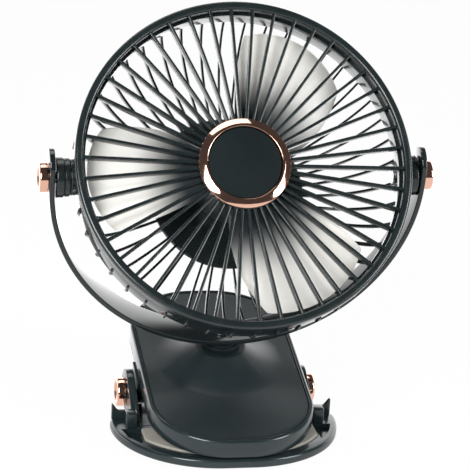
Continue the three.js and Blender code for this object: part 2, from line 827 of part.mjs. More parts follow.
function yoke() {
  const top = yokeRise + yokeWidth / 2;
  const band = new THREE.Shape();
  band.moveTo(yokeOuter, top);
  band.lineTo(yokeInner, top);
  band.lineTo(yokeInner, 0);
  band.absarc(0, 0, yokeInner, 0, -Math.PI, true);
  band.lineTo(-yokeInner, top);
  band.lineTo(-yokeOuter, top);
  band.lineTo(-yokeOuter, 0);
  band.absarc(0, 0, yokeOuter, -Math.PI, 0, false);
  band.closePath();
  const cutting = { depth: yokeWidth, curveSegments: yokeSides / 2, bevelEnabled: false };
  const strip = new THREE.ExtrudeGeometry(band, cutting);
  strip.rotateX(Math.PI / 2).translate(0, yokeWidth / 2, 0);
  // seen from the side, the band is straight with round ends
  const side = new THREE.Shape();
  side.moveTo(-yokeWidth / 2, -yokeOuter - 1);
  side.lineTo(yokeWidth / 2, -yokeOuter - 1);
  side.lineTo(yokeWidth / 2, yokeRise);
  side.absarc(0, yokeRise, yokeWidth / 2, 0, Math.PI, false);
  side.closePath();
  const outline = sidePrism(side, -yokeOuter - 1, yokeOuter + 1, CURVE);
  const foot = bar(footRadius, footBottom, -yokeInner - 0.5 * yokeThickness, FINE);
  const body = solid(strip).intersect(solid(outline)).add(solid(foot));
  const pinHole = alongX(bar(pivotPinRadius + RUN, -yokeOuter - 1, yokeOuter + 1));
  const swivelHole = bar(swivelPinRadius + GAP, footBottom - 1, -yokeInner + 2);
  return cut(body, [solid(pinHole), solid(swivelHole)]);
}

function pivotCap(side, radius, from) {
  const bore = radius - 2;
  const end = from + capHeight;
  const along = turned([
    [0, from + capBore],
    [pivotPinRadius + GAP, from + capBore],
    [pivotPinRadius + GAP, from],
    [radius, from],
    [radius, end - capBevel],
    [radius - capBevel, end],
    [bore, end],
    [bore - 0.5, end - capRecess],
    [0, end - capRecess],
  ], MIDDLING);
  return along.rotateY((side * Math.PI) / 2);
}

// The swivel bolt: its head lies inside the yoke, its end takes the nut.
const swivelHead = -insideYoke(swivelHeadRadius) + GAP;
const collarTop = footBottom - GAP;
const collarBottom = collarTop - collarNeckHeight - collarHeight;
const moundTopHeight = collarBottom - GAP;
const nutTop = moundTopHeight - panelThickness - GAP - washerThickness - GAP;

function swivelBolt() {
  return turned([
    [0, nutTop - swivelNutHeight - swivelPinEnd],
    [swivelPinRadius, nutTop - swivelNutHeight - swivelPinEnd],
    [swivelPinRadius, swivelHead],
    [swivelHeadRadius, swivelHead],
    [swivelHeadRadius, swivelHead + swivelHeadBrim],
    [swivelHeadRadius - 1, swivelHead + swivelHeadHeight],
    [0, swivelHead + swivelHeadHeight],
  ], FINE);
}

function swivelNut() {
  const body = bar(swivelNutRadius, nutTop - swivelNutHeight, nutTop, HEX);
  const hole = bar(swivelPinRadius + GAP, nutTop - swivelNutHeight - 1, nutTop + 1);
  return solid(body).subtract(solid(hole));
}

const washer = ring(washerRadius, swivelPinRadius + GAP, nutTop + GAP, nutTop + GAP + washerThickness);

yokeGroup.add(
  mesh('yoke', yoke(), darkShell),
  mesh('pivot_cap_right', pivotCap(1, capRadius, yokeOuter + GAP), roseGold),
  mesh('pivot_cap_left', pivotCap(-1, capRadius, yokeOuter + GAP), roseGold),
  mesh('swivel_bolt', swivelBolt(), steel),
  mesh('swivel_nut', swivelNut(), steel),
  mesh('swivel_washer', washer, steel),
);

// =====================================================================
// Upper jaw. Drawn round the hinge axis, its top face level.
// =====================================================================
const upper = new THREE.Group();
const panelTop = jawTop - panelSink;
const panelBottom = panelTop - panelThickness;
const ledgeTop = panelBottom - GAP;
const coverTop = jawBottom + coverThickness;
const inset = (by) => paddle(jawHalfWidth - by, -jawFront + by, jawRear - by, jawCorner - by, jawCorner - by);
const moundPeak = panelTop + moundHeight;
const pivotHeight = moundPeak - moundTopHeight;
const rearWall = jawRear - jawWall;
const socketMiddle = (coverTop + panelBottom) / 2;
const jawScrews = [[1, 1], [1, -1], [-1, 1], [-1, -1]].map(([x, y]) => [x * jawScrewX, y * jawScrewY]);

function upperShell() {
  const block = solid(prism(inset(0), jawBottom, jawTop, jawRound));
  const hollow = solid(prism(inset(jawWall), jawBottom - 1, jawTop + 1));
  const ledge = solid(prism(inset(jawWall / 2), ledgeTop - ledgeHeight, ledgeTop))
    .subtract(solid(prism(inset(jawWall + ledgeWidth), jawBottom, jawTop)));
  const posts = jawScrews.map(([x, y]) => {
    const [x0, x1] = mirrorX(Math.sign(x), jawScrewX - jawPost, jawHalfWidth - jawWall / 2);
    return solid(box(x0, x1, y - jawPost, y + jawPost, coverTop + GAP, ledgeTop));
  });
  const threads = jawScrews.map(([x, y]) => (
    solid(bar(jawScrewRadius + GAP, coverTop - 1, coverTop + GAP + jawScrewLength, SMALL).translate(x, y, 0))
  ));
  const socketHole = box(
    -socketWidth / 2 - GAP,
    socketWidth / 2 + GAP,
    rearWall - 2,
    jawRear + 1,
    socketMiddle - socketHeight / 2 - GAP,
    socketMiddle + socketHeight / 2 + GAP,
  );
  const lampHole = bar(lampRadius + GAP, -jawRear - 1, 2 * jawWall - rearWall, THIN)
    .rotateX(Math.PI / 2)
    .translate(lampOffset, 0, socketMiddle);
  const frame = join([block.subtract(hollow), ledge, ...posts]);
  return cut(frame, [...threads, solid(socketHole), solid(lampHole)]);
}

// The top panel lies in the rim and rises to a low mound under the swivel.
function topPanel() {
  const clear = jawWall + GAP;
  const plate = solid(prism(inset(clear), panelBottom, panelTop));
  const slope = [];
  for (let k = 0; k <= moundSteps; k += 1) {
    const t = k / moundSteps;
    slope.push([moundFoot + (moundTop - moundFoot) * t, panelTop + moundHeight * t ** moundCurve]);
  }
  const foot = [[0, panelBottom], [moundFoot, panelBottom]];
  const mound = solid(turned([...foot, ...slope, [0, moundPeak]], moundSides));
  const hollow = solid(turned([
    [0, panelBottom - 1],
    [moundFoot - 2 * moundWall, panelBottom - 1],
    [moundFoot - 2 * moundWall, panelBottom],
    [moundTop - 0.5 * moundWall, moundPeak - panelThickness],
    [0, moundPeak - panelThickness],
  ], moundSides));
  const hole = solid(bar(swivelPinRadius + RUN, panelBottom - 1, moundPeak + 1));
  const place = (body) => body.translate([0, swivelOffset, 0]);
  return cut(plate.add(place(mound)), [place(hollow), place(hole)]);
}

// The collar that the yoke turns on: a neck on a flange.
function swivelCollar() {
  return turned([
    [swivelPinRadius + RUN, collarBottom],
    [collarRadius, collarBottom],
    [collarRadius, collarBottom + collarHeight - collarBevel],
    [collarRadius - collarBevel, collarBottom + collarHeight],
    [collarNeckRadius, collarBottom + collarHeight],
    [collarNeckRadius, collarTop],
    [swivelPinRadius + RUN, collarTop],
  ], MIDDLING).translate(0, swivelOffset, pivotHeight);
}

const lugOuterX = earInner - jawLugGap;

// The underside of the upper jaw, with the two lugs that turn on the hinge pin.
function jawCover() {
  const plate = solid(prism(inset(jawWall + GAP), jawBottom, coverTop));
  const lugs = [1, -1].map((side) => {
    const shape = new THREE.Shape();
    shape.moveTo(-lugRadius - lugFlare, jawBottom + 1);
    shape.lineTo(-lugRadius, 0);
    shape.absarc(0, 0, lugRadius, Math.PI, 0, false);
    shape.lineTo(lugRadius + lugFlare, jawBottom + 1);
    shape.closePath();
    const [x0, x1] = mirrorX(side, lugOuterX - jawLugWidth, lugOuterX);
    return solid(sidePrism(shape, x0, x1));
  });
  const wallSpace = solid(prism(inset(-2), jawBottom - GAP, jawTop))
    .subtract(solid(prism(inset(jawWall + GAP), jawBottom - 1, jawTop + 1)));
  const pinHole = solid(alongX(bar(hingePinRadius + RUN, -earInner, earInner)));
  const screwHoles = jawScrews.map(([x, y]) => (
    solid(bar(jawScrewRadius + GAP, jawBottom - 1, coverTop + 1, SMALL).translate(x, y, 0))
  ));
  return cut(join([plate, ...lugs]), [wallSpace, pinHole, ...screwHoles]);
}

// Height in the upper jaw's frame of a level line at a height above the ground.
function levelAt(height, y) {
  const slope = jawAngle * DEG;
  return (height - hingeHeight - y * Math.sin(slope)) / Math.cos(slope);
}

const lowerPadTop = trayTop - padRecess + GAP + lowerPadThickness;

// The wedge of rubber under the nose of the upper jaw; its underside is level when shut.
function upperPad() {
  const back = padFront - padLength;
  const contact = lowerPadTop + GAP;
  const top = jawBottom - GAP;
  const side = polygon([
    [-padFront, Math.min(levelAt(contact, -padFront), top - upperPadEdge)],
    [-back, levelAt(contact, -back)],
    [-back, top],
    [-padFront, top],
  ]);
  return sidePrism(side, -padHalfWidth, padHalfWidth);
}

function battery() {
  const z0 = coverTop + GAP;
  const half = batteryWidth / 2;
  const [y0, y1] = [batteryMiddle - batteryLength / 2, batteryMiddle + batteryLength / 2];
  return box(-half, half, y0, y1, z0, z0 + batteryThickness);
}

// The charging board, notched round the socket.
function chargeBoard() {
  const y1 = boardMiddle + boardLength / 2;
  const z0 = socketMiddle - boardThickness / 2;
  const board = box(-boardWidth / 2, boardWidth / 2, y1 - boardLength, y1, z0, z0 + boardThickness);
  const half = socketWidth / 2 + GAP;
  const notchFront = jawRear - socketSet - socketLength - GAP;
  const notch = box(-half, half, notchFront, y1 + 1, z0 - 1, z0 + boardThickness + 1);
  return solid(board).subtract(solid(notch));
}

// A metal sleeve with a tongue inside, open to the rear.
function usbSocket() {
  const [w, h] = [socketWidth / 2, socketHeight / 2];
  const y1 = jawRear - socketSet;
  const y0 = y1 - socketLength;
  const body = solid(box(-w, w, y0, y1, socketMiddle - h, socketMiddle + h));
  const bore = solid(box(
    -w + socketWall,
    w - socketWall,
    y0 + socketBack,
    y1 + 1,
    socketMiddle - h + socketWall,
    socketMiddle + h - socketWall,
  ));
  const tongue = solid(box(
    -socketTongueShare * w,
    socketTongueShare * w,
    y0 + 0.5 * socketBack,
    y1 - 1,
    socketMiddle - socketTongue / 2,
    socketMiddle + socketTongue / 2,
  ));
  return body.subtract(bore).add(tongue);
}

function chargeLamp() {
  const y1 = jawRear - lampSink;
  return bar(lampRadius, -y1, -y1 + lampLength, THIN).rotateX(Math.PI / 2).translate(lampOffset, 0, socketMiddle);
}

upper.add(
  mesh('upper_shell', upperShell(), darkShell),
  mesh('top_panel', topPanel(), darkPanel),
  mesh('swivel_collar', swivelCollar(), darkShell),
  mesh('jaw_cover', jawCover(), darkShell),
  mesh('upper_grip_pad', upperPad(), greyRubber),
  mesh('battery_pack', battery(), foil),
  mesh('charge_board', chargeBoard(), boardGreen),
  mesh('charge_socket', usbSocket(), steel),
  mesh('charge_lamp', chargeLamp(), clearLens),
);
jawScrews.forEach(([x, y], i) => {
  const length = coverThickness + GAP + jawScrewLength - jawScrewSpare;
  const piece = mesh(`jaw_screw_${i + 1}`, screw(jawScrewRadius, jawScrewHead, length), steel);
  piece.position.set(x, y, jawBottom - GAP);
  upper.add(piece);
});

// =====================================================================
// Lower jaw, flat on the ground.
// =====================================================================
const lower = new THREE.Group();
const padBack = padFront - padLength;

function outlines(by) {
  const back = -trayRear - by;
  const tray = paddle(trayHalfWidth - by, -trayFront + by, back, trayCorner - by, trayRearCorner - by);
  const corner = handleCorner - by;
  const handle = paddle(handleHalfWidth - by, back - trayOverlap, handleRear - by, corner, corner);
  const bridge = earInner + earThickness - by;
  return { tray, handle, bridge };
}

// The lower pad's form, made larger all round by a distance.
function lowerPadBlock(out, z0, z1) {
  const half = lowerPadHalfWidth + out;
  const front = solid(prism(outlines(lowerPadInset - out).tray, z0, z1, 0, LONG_CURVE));
  return front.intersect(solid(box(-half, half, -trayFront, lowerPadMargin - padBack + out, z0 - 1, z1 + 1)));
}

function jawSlab(by, z0, z1, round) {
  const { tray, handle, bridge } = outlines(by);
  return join([
    solid(prism(tray, z0, z1, round, CURVE)),
    solid(prism(handle, z0, z1, round)),
    solid(box(-bridge, bridge, -trayRear - trayOverlap, bridgeRear - by, z0, z1)),
  ]);
}

function lowerJaw() {
  const slab = jawSlab(0, trayBottom, trayTop, trayRound);
  const sole = jawSlab(solePadInset, trayBottom - 1, trayBottom + solePadThickness + GAP, 0);
  const ears = [1, -1].map((side) => {
    const shape = new THREE.Shape();
    shape.moveTo(-earFront, trayTop - trayRound);
    shape.lineTo(bridgeRear, trayTop - trayRound);
    shape.lineTo(earRadius, hingeHeight);
    shape.absarc(0, hingeHeight, earRadius, 0, earArc * DEG, false);
    shape.closePath();
    const [x0, x1] = mirrorX(side, earInner, earInner + earThickness);
    return solid(sidePrism(shape, x0, x1, CURVE));
  });
  const horns = [1, -1].map((side) => {
    const outer = trayHalfWidth - trayRound;
    const shape = polygon([
      [side * outer, trayTop - 1],
      [side * outer, hornHeight],
      [side * (outer - (1 - hornShoulder) * hornTip), hornLow + hornShoulder * (hornHeight - hornLow)],
      [side * (outer - hornTip), hornLow],
      [side * (earInner + earThickness / 2), hornLow],
      [side * (earInner + earThickness / 2), trayTop - 1],
    ]);
    const front = trayRear + hornSet;
    return solid(prism(shape, front, front + hornThickness).rotateX(Math.PI / 2));
  });
  const trough = solid(alongX(bar(lugRadius + lugRoom, -earInner, earInner)).translate(0, 0, hingeHeight));
  const pinHole = solid(alongX(bar(hingePinRadius + GAP, -trayHalfWidth, trayHalfWidth))
    .translate(0, 0, hingeHeight));
  const padBed = lowerPadBlock(GAP, trayTop - padRecess, hingeHeight);
  const inside = solid(prism(outlines(pocketEdge).tray, trayTop - pocketDepth, hingeHeight));
  const pockets = [1, -1].map((side) => {
    const [x0, x1] = mirrorX(side, lowerPadHalfWidth + pocketRib, trayHalfWidth);
    return inside.intersect(solid(box(x0, x1, -pocketRear - pocketLength, -pocketRear, 0, 2 * hingeHeight)));
  });
  const gussets = [1, -1].map((side) => {
    const [x0, x1] = mirrorX(side, earInner + earThickness / 2, earInner + earThickness + gussetWidth);
    return solid(box(x0, x1, -earFront, gussetLength - earFront, trayTop - 1, gussetHeight));
  });
  const slabs = cut(slab, [sole, padBed, ...pockets]);
  return cut(join([slabs, ...ears, ...horns, ...gussets]), [trough, pinHole]);
}

function lowerPad() {
  const z0 = trayTop - padRecess + GAP;
  return lowerPadBlock(0, z0, z0 + lowerPadThickness);
}

// Ground side of the lower jaw: one sheet of soft rubber let into it.
function solePad() {
  return jawSlab(solePadInset + GAP, 0, trayBottom + solePadThickness, 0);
}

const earFace = earInner + earThickness;
const hingePinEnd = earFace + GAP + capBore - GAP;
const hingePin = alongX(bar(hingePinRadius, -hingePinEnd, hingePinEnd, FINE)).translate(0, 0, hingeHeight);

// A torsion spring: a short leg on the lower jaw, the coil round the pin, and a leg that
// pushes the tail of the upper jaw up.
function springLine(side) {
  const points = [];
  const sweep = TURN * springTurns + 2 * QUARTER - springLegAngle;
  const steps = Math.round((sweep / TURN) * springSteps);
  const at = (i) => {
    const turned_ = (sweep * i) / steps;
    const angle = (-QUARTER - turned_) * DEG;
    const x = side * (springInset + (springPitch * turned_) / TURN);
    return new THREE.Vector3(x, springCoil * Math.cos(angle), springCoil * Math.sin(angle));
  };
  const start = at(0);
  points.push(start.clone().add(new THREE.Vector3(0, springLeg, 0)));
  points.push(start.clone().add(new THREE.Vector3(0, 2 * springWire, 0)));
  for (let i = 0; i <= steps; i += 1) points.push(at(i));
  const end = at(steps);
  const away = new THREE.Vector3(0, Math.cos(springLegAngle * DEG), Math.sin(springLegAngle * DEG));
  points.push(end.clone().addScaledVector(away, 2 * springWire));
  points.push(end.clone().addScaledVector(away, springLeg));
  return points.map((p) => p.add(new THREE.Vector3(0, 0, hingeHeight)));
}

// Least gap between one part of a wire and another, measured on points along it.
function leastGap(points, radius) {
  const fine = [];
  for (let i = 0; i + 1 < points.length; i += 1) {
    for (let k = 0; k < 4; k += 1) fine.push(points[i].clone().lerp(points[i + 1], k / 4));
  }
  const along = [0];
  for (let i = 1; i < fine.length; i += 1) along.push(along[i - 1] + fine[i].distanceTo(fine[i - 1]));
  let least = Infinity;
  for (let i = 0; i < fine.length; i += 1) {
    for (let j = i + 1; j < fine.length; j += 1) {
      if (along[j] - along[i] > 8 * radius) least = Math.min(least, fine[i].distanceTo(fine[j]));
    }
  }
  return least - 2 * radius;
}

lower.add(
  mesh('lower_jaw', lowerJaw(), darkShell),
  mesh('lower_grip_pad', lowerPad(), greyRubber),
  mesh('sole_pad', solePad(), black),
  mesh('hinge_pin', hingePin, steel),
);
[['right', 1], ['left', -1]].forEach(([name, side]) => {
  const line = springLine(side);
  console.log(`jaw_spring_${name}: least gap to itself ${leastGap(line, springWire).toFixed(2)} mm`);
  lower.add(mesh(`jaw_spring_${name}`, wire(line, springWire, springSides), steel));
  const cap = mesh(`hinge_cap_${name}`, pivotCap(side, capRadius, earFace + GAP), roseGold);
  cap.position.z = hingeHeight;
  lower.add(cap);
});

// =====================================================================
// Assembly
// =====================================================================
const headTilt = 46.5; // the head looks up this much from the upper jaw's level
head.rotation.x = (QUARTER - headTilt) * DEG;
yokeGroup.add(head);
yokeGroup.position.set(0, swivelOffset, pivotHeight);
upper.add(yokeGroup);
upper.position.z = hingeHeight;
upper.rotation.x = jawAngle * DEG;

const fan = new THREE.Group();
fan.add(lower, upper);

export default fan;
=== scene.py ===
# Clip fan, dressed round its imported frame.
# Shapes are written in millimetres in the frame of the part that carries them, and are put
# in place, in metres, when their mesh is made.
import json
import math

import bmesh
import bpy
from mathutils import Matrix, Vector


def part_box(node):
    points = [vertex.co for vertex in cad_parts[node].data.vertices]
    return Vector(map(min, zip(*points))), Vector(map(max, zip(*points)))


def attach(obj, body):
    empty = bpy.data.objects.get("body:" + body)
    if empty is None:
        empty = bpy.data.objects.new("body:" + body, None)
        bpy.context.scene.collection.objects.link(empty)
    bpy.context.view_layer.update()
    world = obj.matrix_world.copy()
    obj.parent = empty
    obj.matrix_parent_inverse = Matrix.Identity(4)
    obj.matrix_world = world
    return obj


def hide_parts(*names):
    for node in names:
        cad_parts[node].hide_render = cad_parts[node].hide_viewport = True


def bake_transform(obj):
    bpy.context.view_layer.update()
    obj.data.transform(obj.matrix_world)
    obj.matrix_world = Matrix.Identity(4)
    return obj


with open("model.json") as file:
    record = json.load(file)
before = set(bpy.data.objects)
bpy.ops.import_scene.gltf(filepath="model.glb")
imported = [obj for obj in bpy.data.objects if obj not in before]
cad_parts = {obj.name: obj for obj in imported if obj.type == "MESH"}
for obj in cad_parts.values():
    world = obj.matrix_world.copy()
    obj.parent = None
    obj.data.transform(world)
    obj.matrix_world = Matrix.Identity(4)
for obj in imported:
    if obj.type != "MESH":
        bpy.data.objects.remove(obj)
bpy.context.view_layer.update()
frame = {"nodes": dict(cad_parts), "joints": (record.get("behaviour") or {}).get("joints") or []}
nodes = frame["nodes"]
joints = {joint["name"]: joint for joint in frame["joints"]}

# ---- frames of the parts, from the joints ----
MM = 0.001


def frame_along(axis, point_m):
    """A frame with X to the right and Z along an axis, its origin at a point."""
    z = Vector(axis).normalized()
    x = Vector((1, 0, 0))
    y = z.cross(x)
    turn = Matrix((x, y, z)).transposed().to_4x4()
    return Matrix.Translation(Vector(point_m) / MM) @ turn


swivel_axis = joints["swivel"]["axis"]
face_axis = joints["impeller_spin"]["axis"]
GROUND = Matrix.Identity(4)
HINGE = Vector(joints["jaw_hinge"]["pos_m"]) / MM
JAW = frame_along(swivel_axis, HINGE * MM)
YOKE = frame_along(swivel_axis, joints["swivel"]["pos_m"])
HEAD = frame_along(face_axis, joints["head_tilt"]["pos_m"])
TO_METRES = Matrix.Diagonal((MM, MM, MM, 1))
QUARTER = math.pi / 2
FULL = 2 * math.pi
GAP = 0.3
SIDES = ((1, "right"), (-1, "left"))

# radii of edges
HAIR = 0.1
CRISP = 0.2
EASED = 0.3
SOFT = 0.4
ROUND = 0.6

# counts of sides of turned shapes
RIM_SIDES = 184
RING_SIDES = 192
DISC_SIDES = 160
LARGE_SIDES = 128
SMALL_SIDES = 96
TROUGH_SIDES = 64
BORE_SIDES = 48
HOLE_SIDES = 32

# ---- Meshes ----
SAME_POINT = 1e-4
SHORTEST_EDGE = 1e-5
BEVEL_STEPS = 3
BEVEL_ANGLE = math.radians(40)
CREASE = 32
RING_CREASE = 50
PANEL_CREASE = 40
BLADE_CREASE = 60


def link(name, data):
    """A new object in the scene that carries a mesh, lamp or camera."""
    piece = bpy.data.objects.new(name, data)
    bpy.context.scene.collection.objects.link(piece)
    return piece


def plain_mesh(name, points, faces):
    """A closed mesh with doubled points merged and faces pointing outwards."""
    mesh = bpy.data.meshes.new(name)
    mesh.from_pydata([tuple(p) for p in points], [], faces)
    work = bmesh.new()
    work.from_mesh(mesh)
    bmesh.ops.remove_doubles(work, verts=work.verts, dist=SAME_POINT)
    bmesh.ops.dissolve_degenerate(work, edges=work.edges, dist=SHORTEST_EDGE)
    bmesh.ops.recalc_face_normals(work, faces=work.faces)
    work.to_mesh(mesh)
    work.free()
    return mesh


def loft(loops, ring=False):
    """Skins a row of loops with equal counts. A ring closes on itself, else its ends are capped."""
    count = len(loops[0])
    points = [p for loop in loops for p in loop]
    faces = []
    last = len(loops) if ring else len(loops) - 1
    for i in range(last):
        here = i * count
        there = ((i + 1) % len(loops)) * count
        for k in range(count):
            k2 = (k + 1) % count
            faces.append((here + k, here + k2, there + k2, there + k))
    if not ring:
        faces.append(tuple(reversed(range(count))))
        faces.append(tuple(range((len(loops) - 1) * count, len(loops) * count)))
    return points, faces


def rounded(corners, steps=4):
    """A closed outline whose corners (x, y, radius) become arcs; a corner with no radius stays."""
    out = []
    total = len(corners)
    for i, corner in enumerate(corners):
        here = Vector(corner[:2])
        radius = corner[2] if len(corner) > 2 else 0
        before = Vector(corners[i - 1][:2]) - here
        after = (Vector(corners[(i + 1) % total][:2]) - here)
        if radius == 0:
            out.append(tuple(here))
            continue
        a, b = before.normalized(), after.normalized()
        half = math.acos(max(-1, min(1, a.dot(b)))) / 2
        reach = min(radius / math.tan(half), 0.5 * before.length, 0.5 * after.length)
        size = reach * math.tan(half)
        middle = here + (a + b).normalized() * (size / math.sin(half))
        start = here + a * reach - middle
        end = here + b * reach - middle
        sweep = start.angle_signed(end)
        for k in range(steps + 1):
            turn = Matrix.Rotation(-sweep * k / steps, 2)
            out.append(tuple(middle + turn @ start))
    return out


def turned(outline, sides=LARGE_SIDES, axis="Z"):
    """A closed outline of (radius, height) turned about an axis."""
    loops = []
    for k in range(sides):
        turn = FULL * k / sides
        c, s = math.cos(turn), math.sin(turn)
        if axis == "Z":
            loops.append([(r * c, r * s, h) for r, h in outline])
        else:
            loops.append([(h, r * c, r * s) for r, h in outline])
    return loft(loops, ring=True)


def slab(outline, z0, z1):
    """A straight-sided plate from an outline of (x, y)."""
    return loft([[(x, y, z) for x, y in outline] for z in (z0, z1)])


def side_plate(outline, x0, x1):
    """A plate from an outline of (y, z), standing from x0 to x1."""
    return loft([[(x, y, z) for y, z in outline] for x in (x0, x1)])


def block(x0, x1, y0, y1, z0, z1):
    """A straight-sided block."""
    return slab([(x0, y0), (x1, y0), (x1, y1), (x0, y1)], z0, z1)


def scratch(shape, bevel=0):
    """A helper object in millimetres, with its edges bevelled where that is asked for."""
    piece = link("shape", plain_mesh("shape", *shape))
    if bevel:
        edge = piece.modifiers.new("edges", "BEVEL")
        edge.width = bevel
        edge.segments = BEVEL_STEPS
        edge.limit_method = "ANGLE"
        edge.angle_limit = BEVEL_ANGLE
        return settled(piece)
    return piece


def settled(piece):
    """Turns a helper's modifiers into plain mesh."""
    graph = bpy.context.evaluated_depsgraph_get()
    mesh = bpy.data.meshes.new_from_object(piece.evaluated_get(graph))
    piece.modifiers.clear()
    piece.data = mesh
    return piece


def combined(base, tools, operation):
    """Joins tools to a base, or cuts them out of it."""
    for tool in tools:
        step = base.modifiers.new("step", "BOOLEAN")
        step.operation = operation
        step.solver = "EXACT"
        step.object = tool
        settled(base)
        bpy.data.objects.remove(tool)
    return base


def finish_piece(name, mesh, place, body, finish, stands_for=(), crease=CREASE):
    """Puts a mesh in place, shades it, gives it its finish, hides the CAD nodes it stands for and ties
    it to its body.
    """
    mesh.name = name
    mesh.transform(TO_METRES @ place)
    mesh.shade_smooth()
    mesh.set_sharp_from_angle(angle=math.radians(crease))
    piece = link(name, mesh)
    mesh.materials.clear()
    mesh.materials.append(finishes[finish])
    if stands_for:
        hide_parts(*stands_for)
    if body:
        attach(piece, body)
    return piece


def make(name, shape, place, body, finish, stands_for=(), crease=CREASE):
    """A finished piece from points and faces."""
    return finish_piece(name, plain_mesh(name, *shape), place, body, finish, stands_for, crease)


def turned_piece(name, corners, sides, place, body, finish, stands_for, crease=CREASE):
    """A finished piece turned about Z from an outline with rounded corners."""
    make(name, turned(rounded(corners), sides), place, body, finish, stands_for, crease)


def take(name, helper, place, body, finish, stands_for=(), crease=CREASE):
    """A finished piece from a helper object."""
    mesh = helper.data.copy()
    bpy.data.objects.remove(helper)
    return finish_piece(name, mesh, place, body, finish, stands_for, crease)


# ---- Geometry Nodes: copies round an axis, and copies on points ----


def copies_tree(name, round_axis):
    """Places a part on points, or a count of times round Z, each copy turned with its place."""
    tree = bpy.data.node_groups.new(name, "GeometryNodeTree")
    inputs = [("Geometry", "Geometry"), ("Part", "Object"), ("Finish", "Material")]
    if round_axis:
        inputs += [("Count", "Int"), ("First Angle", "Float")]
    for label, kind in inputs:
        tree.interface.new_socket(label, in_out="INPUT", socket_type=f"NodeSocket{kind}")
    tree.interface.new_socket("Geometry", in_out="OUTPUT", socket_type="NodeSocketGeometry")
    new = tree.nodes.new
    source = new("NodeGroupInput")
    result = new("NodeGroupOutput")
    part = new("GeometryNodeObjectInfo")
    place = new("GeometryNodeInstanceOnPoints")
    realize = new("GeometryNodeRealizeInstances")
    paint = new("GeometryNodeSetMaterial")
    join = tree.links.new
    join(source.outputs["Part"], part.inputs["Object"])
    join(part.outputs["Geometry"], place.inputs["Instance"])
    if round_axis:
        points = new("GeometryNodePoints")
        index = new("GeometryNodeInputIndex")
        step = maths(tree, "DIVIDE")
        step.inputs[0].default_value = FULL
        angle = maths(tree, "MULTIPLY_ADD")
        turn = new("FunctionNodeAxisAngleToRotation")
        turn.inputs["Axis"].default_value = (0, 0, 1)
        join(source.outputs["Count"], points.inputs["Count"])
        join(source.outputs["Count"], step.inputs[1])
        join(index.outputs[0], angle.inputs[0])
        join(step.outputs[0], angle.inputs[1])
        join(source.outputs["First Angle"], angle.inputs[2])
        join(angle.outputs[0], turn.inputs["Angle"])
        join(turn.outputs[0], place.inputs["Rotation"])
        join(points.outputs[0], place.inputs["Points"])
    else:
        join(source.outputs["Geometry"], place.inputs["Points"])
    join(source.outputs["Finish"], paint.inputs["Material"])
    join(place.outputs[0], realize.inputs[0])
    join(realize.outputs[0], paint.inputs["Geometry"])
    join(paint.outputs[0], result.inputs[0])
    return tree


def set_input(modifier, name, value):
    """Sets a tree's named input on its modifier."""
    for item in modifier.node_group.interface.items_tree:
        if item.item_type == "SOCKET" and item.in_out == "INPUT" and item.name == name:
            modifier[item.identifier] = value


def copied(tree, part, finish, points=((0, 0, 0),), **values):
    """The plain mesh of a part copied by a tree; the part itself is used up."""
    carrier_mesh = bpy.data.meshes.new("carrier")
    carrier_mesh.from_pydata(points, [], [])
    carrier = link("carrier", carrier_mesh)
    step = carrier.modifiers.new("copies", "NODES")
    step.node_group = tree
    set_input(step, "Part", part)
    set_input(step, "Finish", finishes[finish])
    for name, value in values.items():
        set_input(step, name.replace("_", " "), value)
    graph = bpy.context.evaluated_depsgraph_get()
    mesh = bpy.data.meshes.new_from_object(carrier.evaluated_get(graph))
    bpy.data.objects.remove(carrier)
    bpy.data.objects.remove(part)
    return mesh


# ---- Finishes ----
MIX_A = 6
MIX_B = 7
MIX_RESULT = 2
GRAIN_HEIGHT = 0.0004
HANDLED_SCALE = 1.6
# Painted shade on the blades near the hub: its colour, and the radii over which it fades out.
BLADE_PAINTED_SHADE = (62, 68, 72)
BLADE_DARK_END = 28
BLADE_PALE_START = 54


def preset(node, **values):
    """Sets a node's named inputs."""
    for label, value in values.items():
        node.inputs[label.replace("_", " ")].default_value = value
    return node


def smooth_step(tree, **values):
    """A node that leads softly from one value to another."""
    node = tree.nodes.new("ShaderNodeMapRange")
    node.interpolation_type = "SMOOTHSTEP"
    return preset(node, **values)


def maths(tree, operation, second=None, third=None):
    """A math node; its second and third values are set where they are given."""
    node = tree.nodes.new("ShaderNodeMath")
    node.operation = operation
    for k, value in ((1, second), (2, third)):
        if value is not None:
            node.inputs[k].default_value = value
    return node


def effect(name, inputs, output):
    """An empty shader group with named inputs and one output; returns its parts."""
    tree = bpy.data.node_groups.new(name, "ShaderNodeTree")
    for label, kind, value in inputs:
        item = tree.interface.new_socket(label, in_out="INPUT", socket_type=kind)
        item.default_value = value
    tree.interface.new_socket(output[0], in_out="OUTPUT", socket_type=output[1])
    return tree, tree.nodes.new("NodeGroupInput"), tree.nodes.new("NodeGroupOutput")


def grain_effect():
    """Fine moulded grain: the height of a small even noise."""
    inputs = [
        ("Vector", "NodeSocketVector", (0, 0, 0)),
        ("Scale", "NodeSocketFloat", 900.0),
        ("Roughness", "NodeSocketFloat", 0.6),
    ]
    tree, source, result = effect("moulded grain", inputs, ("Height", "NodeSocketFloat"))
    noise = preset(tree.nodes.new("ShaderNodeTexNoise"), Detail=3)
    for label, kind, value in inputs:
        tree.links.new(source.outputs[label], noise.inputs[label])
    tree.links.new(noise.outputs["Fac"], result.inputs["Height"])
    return tree


def spread_noise(tree, source, detail, low, high):
    """A noise at the group's scale, stretched so that low to high fills 0 to 1."""
    noise = preset(tree.nodes.new("ShaderNodeTexNoise"), Detail=detail)
    spread = preset(tree.nodes.new("ShaderNodeMapRange"), From_Min=low, From_Max=high)
    for label in ("Vector", "Scale"):
        tree.links.new(source.outputs[label], noise.inputs[label])
    tree.links.new(noise.outputs["Fac"], spread.inputs["Value"])
    return noise, spread


